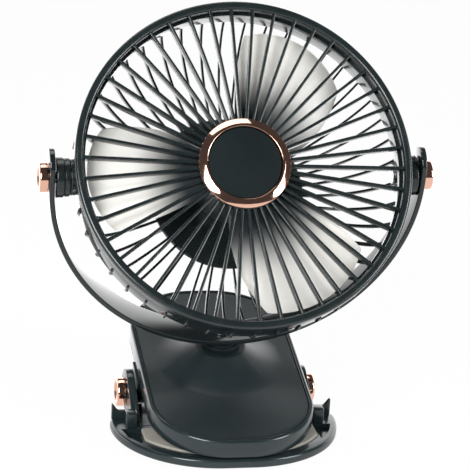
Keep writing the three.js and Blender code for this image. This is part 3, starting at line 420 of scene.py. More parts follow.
def drift_effect():
    """A slow change of tone over the surface between two colours."""
    inputs = [
        ("Vector", "NodeSocketVector", (0, 0, 0)),
        ("Scale", "NodeSocketFloat", 30.0),
        ("Tone", "NodeSocketColor", (0.5, 0.5, 0.5, 1)),
        ("Other Tone", "NodeSocketColor", (0.4, 0.4, 0.4, 1)),
    ]
    tree, source, result = effect("tone drift", inputs, ("Color", "NodeSocketColor"))
    _, spread = spread_noise(tree, source, detail=4, low=0.35, high=0.65)
    mix = tree.nodes.new("ShaderNodeMix")
    mix.data_type = "RGBA"
    join = tree.links.new
    join(spread.outputs[0], mix.inputs["Factor"])
    join(source.outputs["Tone"], mix.inputs[MIX_A])
    join(source.outputs["Other Tone"], mix.inputs[MIX_B])
    join(mix.outputs[MIX_RESULT], result.inputs["Color"])
    return tree


def handling_effect():
    """Roughness that rises in soft patches where a surface is handled."""
    inputs = [
        ("Vector", "NodeSocketVector", (0, 0, 0)),
        ("Scale", "NodeSocketFloat", 60.0),
        ("Clean", "NodeSocketFloat", 0.3),
        ("Handled", "NodeSocketFloat", 0.45),
    ]
    tree, source, result = effect("handling", inputs, ("Roughness", "NodeSocketFloat"))
    noise, spread = spread_noise(tree, source, detail=6, low=0.4, high=0.7)
    noise.inputs["Roughness"].default_value = 0.65
    join = tree.links.new
    join(source.outputs["Clean"], spread.inputs["To Min"])
    join(source.outputs["Handled"], spread.inputs["To Max"])
    join(spread.outputs[0], result.inputs["Roughness"])
    return tree


GRAIN = grain_effect()
DRIFT = drift_effect()
HANDLING = handling_effect()


def linear(colour):
    """An sRGB colour of 0 to 255 as the linear colour that a shader takes."""
    out = []
    for value in colour:
        v = value / 255
        out.append(v / 12.92 if v <= 0.04045 else ((v + 0.055) / 1.055) ** 2.4)
    return (*out, 1.0)


def place_effect(material, tree, coordinates, **values):
    """Puts a shared group into a material, with its named inputs set."""
    node = material.node_tree.nodes.new("ShaderNodeGroup")
    node.node_tree = tree
    material.node_tree.links.new(coordinates.outputs["Object"], node.inputs["Vector"])
    return preset(node, **values)


def surface(
    name, tone, other, clean, handled, grain=900, depth=0.02, patches=45, metal=0.0, **sockets
):
    """A finish whose tone, roughness and grain change over the surface."""
    material = bpy.data.materials.new(name)
    material.use_nodes = True
    tree = material.node_tree
    shader = tree.nodes["Principled BSDF"]
    coordinates = tree.nodes.new("ShaderNodeTexCoord")
    join = tree.links.new
    colour = place_effect(
        material, DRIFT, coordinates, Scale=patches, Tone=linear(tone), Other_Tone=linear(other)
    )
    rough = place_effect(
        material, HANDLING, coordinates, Scale=HANDLED_SCALE * patches, Clean=clean, Handled=handled
    )
    height = place_effect(material, GRAIN, coordinates, Scale=grain)
    bump = preset(tree.nodes.new("ShaderNodeBump"), Strength=depth, Distance=GRAIN_HEIGHT)
    join(colour.outputs["Color"], shader.inputs["Base Color"])
    join(rough.outputs["Roughness"], shader.inputs["Roughness"])
    join(height.outputs["Height"], bump.inputs["Height"])
    join(bump.outputs["Normal"], shader.inputs["Normal"])
    preset(shader, Metallic=metal, **sockets)
    return material


def blade_finish():
    """Pale moulded blades with painted shade that darkens them towards the hub."""
    material = surface("blade cream", (252, 251, 246), (246, 244, 237), 0.3, 0.4, depth=0.05)
    tree = material.node_tree
    shader = tree.nodes["Principled BSDF"]
    coordinates = next(n for n in tree.nodes if n.type == "TEX_COORD")
    centre = tree.nodes.new("ShaderNodeMapping")
    centre.vector_type = "TEXTURE"
    preset(centre, Location=HEAD.translation * MM, Rotation=HEAD.to_euler())
    flat = tree.nodes.new("ShaderNodeVectorMath")
    flat.operation = "MULTIPLY"
    flat.inputs[1].default_value = (1, 1, 0)
    reach = tree.nodes.new("ShaderNodeVectorMath")
    reach.operation = "LENGTH"
    spread = smooth_step(tree, From_Min=BLADE_DARK_END * MM, From_Max=BLADE_PALE_START * MM)
    mix = tree.nodes.new("ShaderNodeMix")
    mix.data_type = "RGBA"
    mix.inputs[MIX_A].default_value = linear(BLADE_PAINTED_SHADE)
    pale = shader.inputs["Base Color"].links[0].from_socket
    join = tree.links.new
    join(coordinates.outputs["Object"], centre.inputs["Vector"])
    join(centre.outputs[0], flat.inputs[0])
    join(flat.outputs[0], reach.inputs[0])
    join(reach.outputs["Value"], spread.inputs["Value"])
    join(spread.outputs[0], mix.inputs["Factor"])
    join(pale, mix.inputs[MIX_B])
    join(mix.outputs[MIX_RESULT], shader.inputs["Base Color"])
    return material


finishes = {
    "shell": surface("satin dark shell", (34, 44, 46), (29, 38, 40), 0.16, 0.24),
    "panel": surface("dark top panel", (27, 37, 40), (23, 32, 35), 0.36, 0.44, depth=0.015),
    "disc": surface(
        "dull dark disc", (20, 28, 30), (17, 24, 26), 0.45, 0.55, Specular_IOR_Level=0.12
    ),
    "arm": surface("glossy dark arm", (27, 34, 36), (22, 28, 30), 0.08, 0.14, depth=0.01),
    "grille": surface("dark grille", (25, 33, 34), (21, 28, 29), 0.2, 0.3, patches=90),
    "wall": surface("glossy cage wall", (27, 34, 36), (22, 28, 30), 0.1, 0.16, depth=0.01),
    "rose": surface(
        "polished rose gold", (238, 190, 168), (230, 180, 158), 0.05, 0.1,
        grain=600, depth=0.01, metal=1.0
    ),
    "steel": surface("bright steel", (182, 186, 189), (160, 164, 168), 0.22, 0.4, metal=1.0),
    "spring": surface(
        "spring wire", (150, 153, 156), (120, 123, 127), 0.3, 0.5, grain=400, metal=1.0
    ),
    "motor": surface("zinc motor case", (150, 153, 156), (132, 136, 139), 0.35, 0.5, metal=1.0),
    "black": surface("black plastic", (20, 21, 22), (14, 15, 16), 0.5, 0.65, grain=500, depth=0.1),
    "sole": surface("sole rubber", (24, 25, 26), (18, 19, 20), 0.75, 0.9, grain=350, depth=0.3),
    "rubber": surface(
        "grey grip rubber", (166, 163, 154), (152, 149, 141), 0.75, 0.9,
        grain=420, depth=0.35, patches=70
    ),
    "board": surface("green board", (32, 92, 58), (26, 80, 50), 0.4, 0.55, depth=0.05),
    "foil": surface("cell wrap", (176, 180, 188), (160, 164, 172), 0.3, 0.45, metal=0.6),
    "lens": surface("lamp lens", (226, 236, 244), (212, 224, 234), 0.08, 0.15, depth=0.01),
    "cream": blade_finish(),
}

# ---- Cage (in the head's frame: Z out of the face) ----
SPOKES = 46
SPOKE_PHASE = math.radians(5.4)
SPOKE_WIDTH = 1.5
SPOKE_DEPTH = 4.6
SPOKE_FOOT = 0.42
SPOKE_ROUND = 0.45
SPOKE_START = 21.2
SPOKE_END = 80.8
SPOKE_LOW = 20.5
SPOKE_CLIMB = 2.8
SPOKE_STEPS = 8
RIM = 82.8
RIM_IN = 78.6
RIM_FACE = 24.0
RIM_BACK = 18.0
RIM_ROUND = 1.5
SKIRT_OUT = 79.1
SKIRT_IN = 77.3
SKIRT_BACK = 14.5
HUB = 22.7
HUB_TOP = 20.7
HUB_BACK = 16.1
RING_BASE = HUB_TOP + GAP
RING_IN = 18.2
RING_IN_TOP = 22.5
RING_OUT_TOP = 21.7
RING_CREST = (19.4, 23.4, 1.0)
RING_LIP = (18.5, 23.2, EASED)
DISC = 17.9
DISC_TOP = 22.4
DISC_MIDDLE = 22.2
WALL_OUT = 81.6
WALL_IN = 79.4
WALL_FRONT = 17.7
WALL_BACK = 3.0
CAGE_REACH = 82.9
MOUNT = 39
MOUNT_BORE = 4
MOUNT_BACK = -31.0
MOUNT_FRONT = -28.4
RIB_REACH = 82.5
RIB_END = 35
RIB_HALF = 0.6
RIB_ROUND = 0.25
RIB_STEPS = 20
PIN_BORE = 2.9
LUG = 9
LUG_IN = 79.9
BOSS_START = 83.2
BOSS_THIRD = (89.9 - BOSS_START) / 3
BOSS_NARROW = 9.6
BOSS_WIDE = 10
GROOVE = 9.3
GROOVE_WIDTH = 0.4
MOTOR = 16
MOTOR_BORE = 2
MOTOR_BACK = -28.1
MOTOR_FRONT = -11.1
MOTOR_DISH = -11.6
NECK = 5
NECK_FRONT = -8.7
around_axis = copies_tree("copies round the axis", True)
on_points = copies_tree("copies on points", False)

turned_piece("grille_rim", [
    (SKIRT_IN, SKIRT_BACK, EASED),
    (SKIRT_OUT, SKIRT_BACK, EASED),
    (SKIRT_OUT, RIM_BACK),
    (RIM, RIM_BACK, SOFT),
    (RIM, RIM_FACE, RIM_ROUND),
    (RIM_IN, RIM_FACE, RIM_ROUND),
    (RIM_IN, RIM_BACK),
    (SKIRT_IN, RIM_BACK),
], RIM_SIDES, HEAD, "fan_head", "grille", ["front_grille"])


def spoke():
    """A bar from the hub to the rim: level at the hub, rounded along its top."""
    half, foot = 0.5 * SPOKE_WIDTH, SPOKE_FOOT * SPOKE_WIDTH
    section = rounded([
        (-half, 0, SPOKE_ROUND),
        (half, 0, SPOKE_ROUND),
        (foot, -SPOKE_DEPTH, EASED),
        (-foot, -SPOKE_DEPTH, EASED),
    ], 2)
    loops = []
    for k in range(SPOKE_STEPS + 1):
        t = k / SPOKE_STEPS
        reach = SPOKE_START + (SPOKE_END - SPOKE_START) * t
        top = SPOKE_LOW + SPOKE_CLIMB * t
        loops.append([(reach, y, top + z) for y, z in section])
    return loft(loops)


spokes = copied(around_axis, scratch(spoke()), "grille", Count=SPOKES, First_Angle=SPOKE_PHASE)
finish_piece("grille_spokes", spokes, HEAD, "fan_head", "grille", ["front_grille"])
plate_outline = rounded([(0, HUB_BACK), (HUB, HUB_BACK, 0.5), (HUB, HUB_TOP, CRISP), (0, HUB_TOP)])
make("grille_hub_plate", turned(plate_outline), HEAD, "fan_head", "grille", ["front_grille"])

turned_piece("hub_ring_trim", [
    (RING_IN, RING_BASE, HAIR),
    (HUB, RING_BASE, CRISP),
    (HUB, RING_OUT_TOP, ROUND),
    RING_CREST,
    RING_LIP,
    (RING_IN, RING_IN_TOP, CRISP),
], RING_SIDES, HEAD, "fan_head", "rose", ["hub_ring"], crease=RING_CREASE)
turned_piece("hub_cap_disc", [
    (0, RING_BASE),
    (DISC, RING_BASE, HAIR),
    (DISC, DISC_TOP, 0.35),
    (0, DISC_MIDDLE),
], DISC_SIDES, HEAD, "fan_head", "disc", ["hub_disc"])

turned_piece("cage_wall", [
    (WALL_IN, WALL_BACK, SOFT),
    (WALL_OUT, WALL_BACK, SOFT),
    (WALL_OUT, WALL_FRONT, SOFT),
    (WALL_IN, WALL_FRONT, SOFT),
], RIM_SIDES, HEAD, "fan_head", "wall", ["rear_grille"])


def bezier(a, b, c, d, steps):
    """A curve from a to d that leans on b and c."""
    out = []
    for k in range(steps + 1):
        t = k / steps
        s = 1 - t
        weights = (s * s * s, 3 * s * s * t, 3 * s * t * t, t * t * t)
        out.append(tuple(sum(w * p[i] for w, p in zip(weights, (a, b, c, d))) for i in (0, 1)))
    return out


def cage_rib():
    """A rib that runs down the wall, bends in behind it and ends on the motor mount."""
    belly = 61.9
    outer = [(RIB_REACH - 0.5, 9.1), (RIB_REACH, 8.4), (RIB_REACH, 5.0)]
    outer_bend = [(RIB_REACH, 2.5), (78.9, -13.5), (belly, MOUNT_BACK), (RIB_END, MOUNT_BACK)]
    inner = [(80.6, 9.1), (80.4, 7.9), (80.3, 5.0)]
    inner_bend = [(80.3, 2.5), (76.3, -10.9), (belly, MOUNT_FRONT), (RIB_END, MOUNT_FRONT)]
    outer += bezier(*outer_bend, RIB_STEPS)
    inner += bezier(*inner_bend, RIB_STEPS)
    loops = []
    for (ro, zo), (ri, zi) in zip(outer, inner):
        across = Vector((ro - ri, zo - zi))
        size = across.length
        ahead = across / size
        section = rounded([
            (-RIB_HALF, 0, RIB_ROUND),
            (RIB_HALF, 0, RIB_ROUND),
            (RIB_HALF, size, RIB_ROUND),
            (-RIB_HALF, size, RIB_ROUND),
        ], 2)
        loops.append([(ri + ahead.x * v, u, zi + ahead.y * v) for u, v in section])
    return loft(loops)


ribs = copied(around_axis, scratch(cage_rib()), "grille", Count=SPOKES, First_Angle=SPOKE_PHASE)
finish_piece("cage_ribs", ribs, HEAD, "fan_head", "grille", ["rear_grille"])
turned_piece("motor_mount", [
    (MOUNT_BORE, MOUNT_BACK, EASED),
    (MOUNT, MOUNT_BACK, ROUND),
    (MOUNT, MOUNT_FRONT, ROUND),
    (MOUNT_BORE, MOUNT_FRONT, EASED),
], LARGE_SIDES, HEAD, "fan_head", "grille", ["rear_grille"])
for side, word in SIDES:
    near, far = sorted((side * LUG_IN, side * CAGE_REACH))
    pad = turned(rounded([(PIN_BORE, near), (LUG, near, SOFT), (LUG, far, SOFT), (PIN_BORE, far)]),
                 SMALL_SIDES, "X")
    make(f"cage_lug_{word}", pad, HEAD, "fan_head", "grille", ["rear_grille"])
    node = f"tilt_boss_{word}"
    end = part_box(node)[1 if side > 0 else 0].x * side / MM
    groove = BOSS_START + BOSS_THIRD
    boss_outline = rounded([
        (PIN_BORE, BOSS_START),
        (BOSS_NARROW, BOSS_START, CRISP),
        (BOSS_NARROW, groove, HAIR),
        (GROOVE, groove, HAIR),
        (GROOVE, groove + GROOVE_WIDTH, HAIR),
        (BOSS_WIDE, groove + 2 * GROOVE_WIDTH, EASED),
        (BOSS_WIDE, end, ROUND),
        (PIN_BORE, end),
    ])
    boss = turned([(r, side * x) for r, x in boss_outline], SMALL_SIDES, "X")
    make(f"tilt_boss_turned_{word}", boss, HEAD, "fan_head", "grille", [node])

turned_piece("motor_case", [
    (MOTOR_BORE, MOTOR_BACK),
    (MOTOR, MOTOR_BACK, 0.5),
    (MOTOR, MOTOR_FRONT, 1.4),
    (12.5, MOTOR_FRONT, CRISP),
    (12.2, MOTOR_DISH, CRISP),
    (6.8, MOTOR_DISH, CRISP),
    (6.5, MOTOR_FRONT, CRISP),
    (NECK, MOTOR_FRONT),
    (NECK, NECK_FRONT, ROUND),
    (MOTOR_BORE, NECK_FRONT),
], SMALL_SIDES, HEAD, "fan_head", "motor", ["motor_can"])

# ---- impeller ----
BLADES = 3
BLADE_PLACE = 55
BLADE_ROOT = 17
BLADE_TIP = 75
BLADE_CORNER = 5
SPAN_ROOT = 80
SPAN_TIP = 46
BLADE_SWEEP = 7
BLADE_BACK = 4
BLADE_RISE = 15
BLADE_UNTWIST = 0.25
BLADE_CAMBER = 2.2
BLADE_EDGE = 0.12
BLADE_SWELL = 0.78
SIDE_SHARPNESS = 8
TIP_SHARPNESS = 30
CUP = 19.5
CUP_IN = 17.5
CUP_BACK = -2.5
CUP_FLOOR = 8.5
CUP_FRONT = 10.5
STEM = 4.6
STEM_BORE = 1.9


def blade(turn):
    """A pale blade: a twisted, cambered sheet with a rounded edge all round."""
    along, across = 22, 30
    points = []
    for face in (-1, 1):
        for i in range(along + 1):
            u = i / along
            radius = BLADE_ROOT + (BLADE_TIP - BLADE_ROOT) * u
            span = SPAN_ROOT + (SPAN_TIP - SPAN_ROOT) * u
            for j in range(across + 1):
                v = j / across - 0.5
                reach = radius - max(0, 2 * u - 1) * BLADE_CORNER * (2 * v) ** 2
                angle = math.radians(turn + span * v + BLADE_SWEEP * u)
                sides = max(0, 1 - abs(2 * v) ** SIDE_SHARPNESS) ** 0.5
                swell = sides * max(0, 1 - u ** TIP_SHARPNESS) ** 0.5
                twist = BLADE_RISE * v * (1 - BLADE_UNTWIST * u)
                middle = BLADE_BACK + twist + BLADE_CAMBER * (1 - 4 * v * v)
                z = middle + face * (BLADE_EDGE + BLADE_SWELL * swell)
                points.append((reach * math.cos(angle), reach * math.sin(angle), z))
    wide = across + 1
    layer = wide * (along + 1)
    quads = []
    for i in range(along):
        for j in range(across):
            a = i * wide + j
            quads.append((a, a + 1, a + wide + 1, a + wide))
            quads.append((layer + a, layer + a + wide, layer + a + wide + 1, layer + a + 1))
        for j in (0, across):
            a = i * wide + j
            quads.append((a, a + wide, layer + a + wide, layer + a))
    for j in range(across):
        for i in (0, along):
            a = i * wide + j
            quads.append((a, a + 1, layer + a + 1, layer + a))
    return points, quads


blades = copied(around_axis, scratch(blade(BLADE_PLACE)), "cream", Count=BLADES, First_Angle=0.0)
finish_piece("fan_blades", blades, HEAD, "rotor", "cream", ["impeller"], crease=BLADE_CREASE)
# The hub takes the blades' finish and lies inside its painted shade, so it is coloured wholly in the
# shade colour.
turned_piece("fan_hub", [
    (STEM_BORE, CUP_BACK),
    (STEM, CUP_BACK),
    (STEM, CUP_FLOOR),
    (CUP_IN, CUP_FLOOR),
    (CUP_IN, CUP_BACK, SOFT),
    (CUP, CUP_BACK, SOFT),
    (CUP, CUP_FRONT, 2.2),
    (STEM_BORE, CUP_FRONT),
], SMALL_SIDES, HEAD, "rotor", "cream", ["impeller"])

# ---- rear cover and button ----
COVER_DEPTH = 10.5
COVER_FACE = MOUNT_BACK - GAP
COVER_BACK = COVER_FACE - COVER_DEPTH
COVER_FLAT = 24
COVER_BULGE = 6
COVER_SHY = 0.999  # the dome's last step stops just short of the cover's face
COVER_WALL = 2
COVER_MOUTH = 28
BUTTON_HOLE = 6.9
BUTTON = 6.5
BUTTON_BACK = COVER_BACK - 1.2
FLANGE = 7.7
FLANGE_BACK = COVER_BACK + 2.3
FLANGE_FRONT = COVER_BACK + 3.4


def cover_outline():
    """The rear cover: a round groove about the button, a domed side and the wall inside it."""
    steps = 12
    dome = []
    inner = []
    for k in range(steps + 1):
        t = QUARTER * k / steps
        r = COVER_FLAT + COVER_BULGE * math.sin(t)
        z = COVER_BACK + COVER_DEPTH * (1 - math.cos(t)) * COVER_SHY
        dome.append((r, z))
        inner.append((r - COVER_WALL * math.sin(t) - 0.4, z + COVER_WALL * math.cos(t)))
    floor = COVER_BACK + 0.35
    groove = [(8.4, COVER_BACK), (8.8, floor), (9.6, floor), (10.0, COVER_BACK)]
    outside = [(BUTTON_HOLE, COVER_BACK)] + groove + dome + [(COVER_MOUTH, COVER_FACE)]
    return outside + list(reversed(inner[:-1])) + [(BUTTON_HOLE, COVER_BACK + COVER_WALL)]


make("cover_shell", turned(cover_outline()), HEAD, "fan_head", "shell", ["rear_cover"])
turned_piece("button_cap", [
    (0, BUTTON_BACK + 0.25),
    (4.6, BUTTON_BACK + 0.18, ROUND),
    (5.4, BUTTON_BACK, SOFT),
    (BUTTON, BUTTON_BACK, ROUND),
    (BUTTON, FLANGE_BACK),
    (FLANGE, FLANGE_BACK, 0.15),
    (FLANGE, FLANGE_FRONT, 0.15),
    (0, FLANGE_FRONT),
], SMALL_SIDES, HEAD, "button", "rose", ["power_button"])

# ---- Yoke (in the yoke's frame: Z up the swivel axis, X through the pivots) ----
YOKE_IN = 90.8
YOKE_OUT = 93.4
YOKE_HALF = 9.3
YOKE_RISE = 5.8
YOKE_STEPS = 108
END_STEPS = 12
FOOT = 8
FOOT_LOW = -94.0
FOOT_TOP = -92
SWIVEL_BORE = 2.7
CAP = 7.5
CAP_LENGTH = 4.3
CAP_SEAT = 2.6
CAP_BORE = 2.8
CAP_DISH = 0.7
COLLAR = 9.8
COLLAR_LOW = -98.2
COLLAR_STEP = -96.2
NECK_LOW = -95.6
COLLAR_NECK = 8.4
COLLAR_TOP = -94.3
COLLAR_BORE = 2.8


def yoke_band():
    """The bent band: round ends above the pivots, a short straight, and a half circle."""
    ends = []
    for k in range(END_STEPS + 1):
        t = math.radians(2 + 88 * k / END_STEPS)
        ends.append((YOKE_RISE + YOKE_HALF * math.cos(t), YOKE_HALF * math.sin(t)))
    ends.append((YOKE_RISE / 2, YOKE_HALF))
    stations = [(0, rise, half) for rise, half in ends]
    stations += [(math.pi * k / YOKE_STEPS, 0, YOKE_HALF) for k in range(YOKE_STEPS + 1)]
    stations += [(math.pi, rise, half) for rise, half in reversed(ends)]
    loops = []
    for turn, rise, half in stations:
        soft = min(ROUND, 0.4 * half)
        section = rounded([
            (YOKE_IN, -half, soft),
            (YOKE_OUT, -half, soft),
            (YOKE_OUT, half, soft),
            (YOKE_IN, half, soft),
        ], 3)
        c, s = math.cos(turn), math.sin(turn)
        loops.append([(r * c, y, rise - r * s) for r, y in section])
    return loft(loops)


band = scratch(yoke_band())
foot_outline = rounded([(0, FOOT_LOW), (FOOT, FOOT_LOW, CRISP), (FOOT, FOOT_TOP), (0, FOOT_TOP)])
combined(band, [scratch(turned(foot_outline, SMALL_SIDES))], "UNION")
pin_bore = scratch(turned([(0, -95), (PIN_BORE, -95), (PIN_BORE, 95), (0, 95)], BORE_SIDES, "X"))
swivel_bore = scratch(turned([(0, -96), (SWIVEL_BORE, -96), (SWIVEL_BORE, -88), (0, -88)], BORE_SIDES))
combined(band, [pin_bore, swivel_bore], "DIFFERENCE")
take("yoke_band", band, YOKE, "yoke_arm", "arm", ["yoke"])


def pivot_cap(side, start):
    """A turned cap with a sunk front, its inner face at a distance out along a side."""
    end = start + CAP_LENGTH
    outline = rounded([
        (0, start + CAP_SEAT),
        (CAP_BORE, start + CAP_SEAT),
        (CAP_BORE, start),
        (CAP, start, 0.15),
        (CAP, end, 1.0),
        (5.6, end, 0.25),
        (5.1, end - CAP_DISH, 0.25),
        (0, end - CAP_DISH),
    ])
    return turned([(r, side * x) for r, x in outline], SMALL_SIDES, "X")


for side, word in SIDES:
    cap = pivot_cap(side, YOKE_OUT + GAP)
    make(f"arm_cap_{word}", cap, YOKE, "yoke_arm", "rose", [f"pivot_cap_{word}"])
turned_piece("collar_turned", [
    (COLLAR_BORE, COLLAR_LOW),
    (COLLAR, COLLAR_LOW, CRISP),
    (COLLAR, COLLAR_STEP, 0.5),
    (9.0, NECK_LOW, SOFT),
    (COLLAR_NECK, NECK_LOW, CRISP),
    (COLLAR_NECK, COLLAR_TOP, CRISP),
    (COLLAR_BORE, COLLAR_TOP),
], SMALL_SIDES, YOKE, "upper_clip", "disc", ["swivel_collar"])

# ---- Upper jaw (in the jaw's frame: Z up from the hinge, square to the panel) ----
JAW_HALF = 41.8
JAW_FRONT = -76.6
JAW_REAR = 63.5
JAW_CORNER = 36.5
JAW_TOP = 21.5
JAW_BASE = 11.8
SHELL_WALL = 2.2
SHELL_ROUND = 1.4
LEDGE = 4.2
LEDGE_TOP = 18.8
LEDGE_BASE = 17.4
POST_Y = 30
POST_HALF = 3
POST_IN = 29.5
POST_OUT = 40.7
POST_BASE = 14.1
SOCKET_HALF = 4.8
SOCKET_LOW = 14.55
SOCKET_HIGH = 18.35
LAMP_BORE = 1.6
LAMP_PLACE = (9.5, 0, 16.45)
PAST_REAR = 65
PANEL_TOP = 21.1
PANEL_INSET = 2.5
PANEL_EDGE = 0.7
PANEL_THICK = 2.0
MOUND_FOOT = 34.0
MOUND_TOP = 12.5
MOUND_RISE = 9.2
MOUND_POWER = 1.6
MOUND_STEPS = 24
SWIVEL_Y = -3.0
SCREW_X = 32.5
SCREW_HEAD = 2.3
THREAD = 1.2
THREAD_CORE = 0.95
THREAD_PITCH = 0.8
CROSS = 1.2
CROSS_HALF = 0.25


def arc(x, y, radius, start, steps):
    """A quarter turn from an angle, anticlockwise."""
    turns = [start + QUARTER * k / steps for k in range(steps + 1)]
    return [(x + radius * math.cos(turn), y + radius * math.sin(turn)) for turn in turns]


def jaw_loop(by, steps=28):
    """The outline of the upper jaw, moved in by a distance."""
    radius = JAW_CORNER - by
    x = JAW_HALF - JAW_CORNER
    y0, y1 = JAW_FRONT + JAW_CORNER, JAW_REAR - JAW_CORNER
    right = arc(x, y0, radius, -QUARTER, steps)
    right += [(JAW_HALF - by, y0 + (y1 - y0) * t) for t in (0.25, 0.5, 0.75)]
    right += arc(x, y1, radius, 0, steps)
    left = [(-px, py) for px, py in reversed(right)]
    return [(0, JAW_FRONT + by)] + right + [(0, JAW_REAR - by)] + left


def raised(outline, z):
    """A flat outline at a height."""
    return [(x, y, z) for x, y in outline]


def round_edge(radius, steps):
    """How far in and how far down the steps of a rounded edge lie, from the side to the top."""
    turns = [QUARTER * k / steps for k in range(steps + 1)]
    return [(radius * (1 - math.cos(t)), radius * (1 - math.sin(t))) for t in turns]


def jaw_shell():
    """The shell: a wall with a rounded top edge and a ledge inside it under the panel."""
    profile = [(SHELL_WALL, JAW_BASE), (0.5, JAW_BASE), (0.15, JAW_BASE + 0.15)]
    profile += [(0, JAW_BASE + 0.5), (0, 16)]
    profile += [(by, JAW_TOP - down) for by, down in round_edge(SHELL_ROUND, 5)]
    profile += [(2.0, JAW_TOP), (SHELL_WALL, JAW_TOP - CRISP), (SHELL_WALL, LEDGE_TOP)]
    profile += [(LEDGE, LEDGE_TOP), (LEDGE, LEDGE_BASE), (SHELL_WALL, LEDGE_BASE)]
    return loft([raised(jaw_loop(by), z) for by, z in profile], ring=True)


shell = scratch(jaw_shell())
posts = []
for side in (-1, 1):
    for y in (-POST_Y, POST_Y):
        near, far = sorted((side * POST_IN, side * POST_OUT))
        post = block(near, far, y - POST_HALF, y + POST_HALF, POST_BASE, LEDGE_TOP)
        posts.append(scratch(post))
combined(shell, posts, "UNION")
socket_hole = scratch(block(-SOCKET_HALF, SOCKET_HALF, 59, PAST_REAR, SOCKET_LOW, SOCKET_HIGH))
lamp_outline = [(0, 54), (LAMP_BORE, 54), (LAMP_BORE, PAST_REAR), (0, PAST_REAR)]
lamp_hole = scratch(turned(lamp_outline, HOLE_SIDES))
lamp_hole.data.transform(Matrix.Translation(LAMP_PLACE) @ Matrix.Rotation(-QUARTER, 4, "X"))
combined(shell, [socket_hole, lamp_hole], "DIFFERENCE")
take("jaw_shell", shell, JAW, "upper_clip", "shell", ["upper_shell"])


def mound_height(reach):
    """How far the mound stands above the panel at a distance from the swivel."""
    t = (MOUND_FOOT - reach) / (MOUND_FOOT - MOUND_TOP)
    return MOUND_RISE * min(1, max(0, t)) ** MOUND_POWER


def top_panel():
    """The panel with its soft edge and the low mound under the swivel, hollow beneath."""
    outline = jaw_loop(PANEL_INSET)
    centre = Vector((0, SWIVEL_Y))
    rays = []
    for x, y in outline:
        ray = Vector((x, y)) - centre
        rays.append((ray.normalized(), ray.length))
    edge = round_edge(PANEL_EDGE, 3)
    loops = [raised(jaw_loop(PANEL_INSET + by), PANEL_TOP - down) for by, down in edge]
    top = []
    for s in (0.06, 0.2, 0.4, 0.6, 0.8, 0.92, 1.0):
        reaches = [(size - PANEL_EDGE) * (1 - s) + MOUND_FOOT * s for ray, size in rays]
        top.append([centre + ray * reach for (ray, size), reach in zip(rays, reaches)])
    fall = MOUND_FOOT - MOUND_TOP
    slope = [MOUND_FOOT - fall * k / MOUND_STEPS for k in range(1, MOUND_STEPS + 1)]
    for reach in slope + [12, 9, COLLAR_BORE]:
        top.append([centre + ray * reach for ray, size in rays])
    under = PANEL_TOP - PANEL_THICK
    for rows, level in ((top, PANEL_TOP), (reversed(top), under)):
        for row in rows:
            loops.append([(p.x, p.y, level + mound_height((p - centre).length)) for p in row])
    loops.append(raised(outline, under))
    return loft(loops, ring=True)


make("jaw_top_panel", top_panel(), JAW, "upper_clip", "panel", ["top_panel"], crease=PANEL_CREASE)


def jaw_screw():
    """A round-headed screw with a cross recess, its thread pointing up."""
    outline = [(0, -1.4), (1.4, -1.4), (2.0, -1.1), (SCREW_HEAD, -0.55), (SCREW_HEAD, 0), (THREAD, 0)]
    for k in range(7):
        z = 1.2 + THREAD_PITCH * k
        outline += [(THREAD, z), (THREAD_CORE, z + 0.5 * THREAD_PITCH)]
    body = scratch(turned(outline + [(0, 6.6)], HOLE_SIDES))
    bars = [
        scratch(block(-CROSS, CROSS, -CROSS_HALF, CROSS_HALF, -2, -0.7)),
        scratch(block(-CROSS_HALF, CROSS_HALF, -CROSS, CROSS, -2, -0.7)),
    ]
    return combined(body, bars, "DIFFERENCE")


screw_points = [(x, y, JAW_BASE - GAP) for x in (-SCREW_X, SCREW_X) for y in (-POST_Y, POST_Y)]
screws = copied(on_points, jaw_screw(), "steel", points=screw_points)
finish_piece("jaw_screws", screws, JAW, "upper_clip", "steel", [f"jaw_screw_{k}" for k in (1, 2, 3, 4)])

# ---- Lower jaw (on the ground) ----
TRAY_HALF = 58.0
TRAY_FRONT = -78.0
TRAY_REAR = -19.0
TRAY_CORNER = 51.0
TRAY_BASE = 0.6
TRAY_TOP = 5.2
TRAY_ROUND = 1.2
TRAY_BACK_CORNER = 7
SOLE_INSET = 4
SOLE_TOP = 2.3
EAR_IN = 43.2
EAR_OUT = 47.2
EAR_FRONT = -34
EAR_BASE = 4
EAR_ROUND = 12
EAR_SWEEP = math.radians(130)
BRIDGE_REAR = 9.0
HANDLE_HALF = 33.0
HANDLE_REAR = 61.0
HANDLE_CORNER = 16.0
PAD_HALF = 44.0
PAD_REAR = -37.0
PAD_CORNER = 2
PAD_INSET = 7.0
PAD_BASE = 4.8
PAD_TOP = 6.3
POCKET_REAR = -36.0
POCKET_FRONT = -54.0
POCKET_INSET = 3.3
POCKET_FLOOR = 2.8
HORN_IN = 45.2
HORN_OUT = 56.8
HORN_FOOT = 4.2
HORN_LOW = 9.0
HORN_FRONT = -22.0
HORN_REAR = -19.6
WEB_OUT = 51.0
WEB_REAR = -27
WEB_TOP = 12.5
HINGE_Z = HINGE.z
TROUGH = 6.8
PIN_HOLE = 2.3
COIL = 3.9
COILS = 7
COIL_STEPS = 36
COIL_PITCH = 2.25
COIL_START = 11
COIL_EXTRA = math.radians(150)
LEG = 19
LEG_LEAN = math.radians(30)
WIRE = 0.8


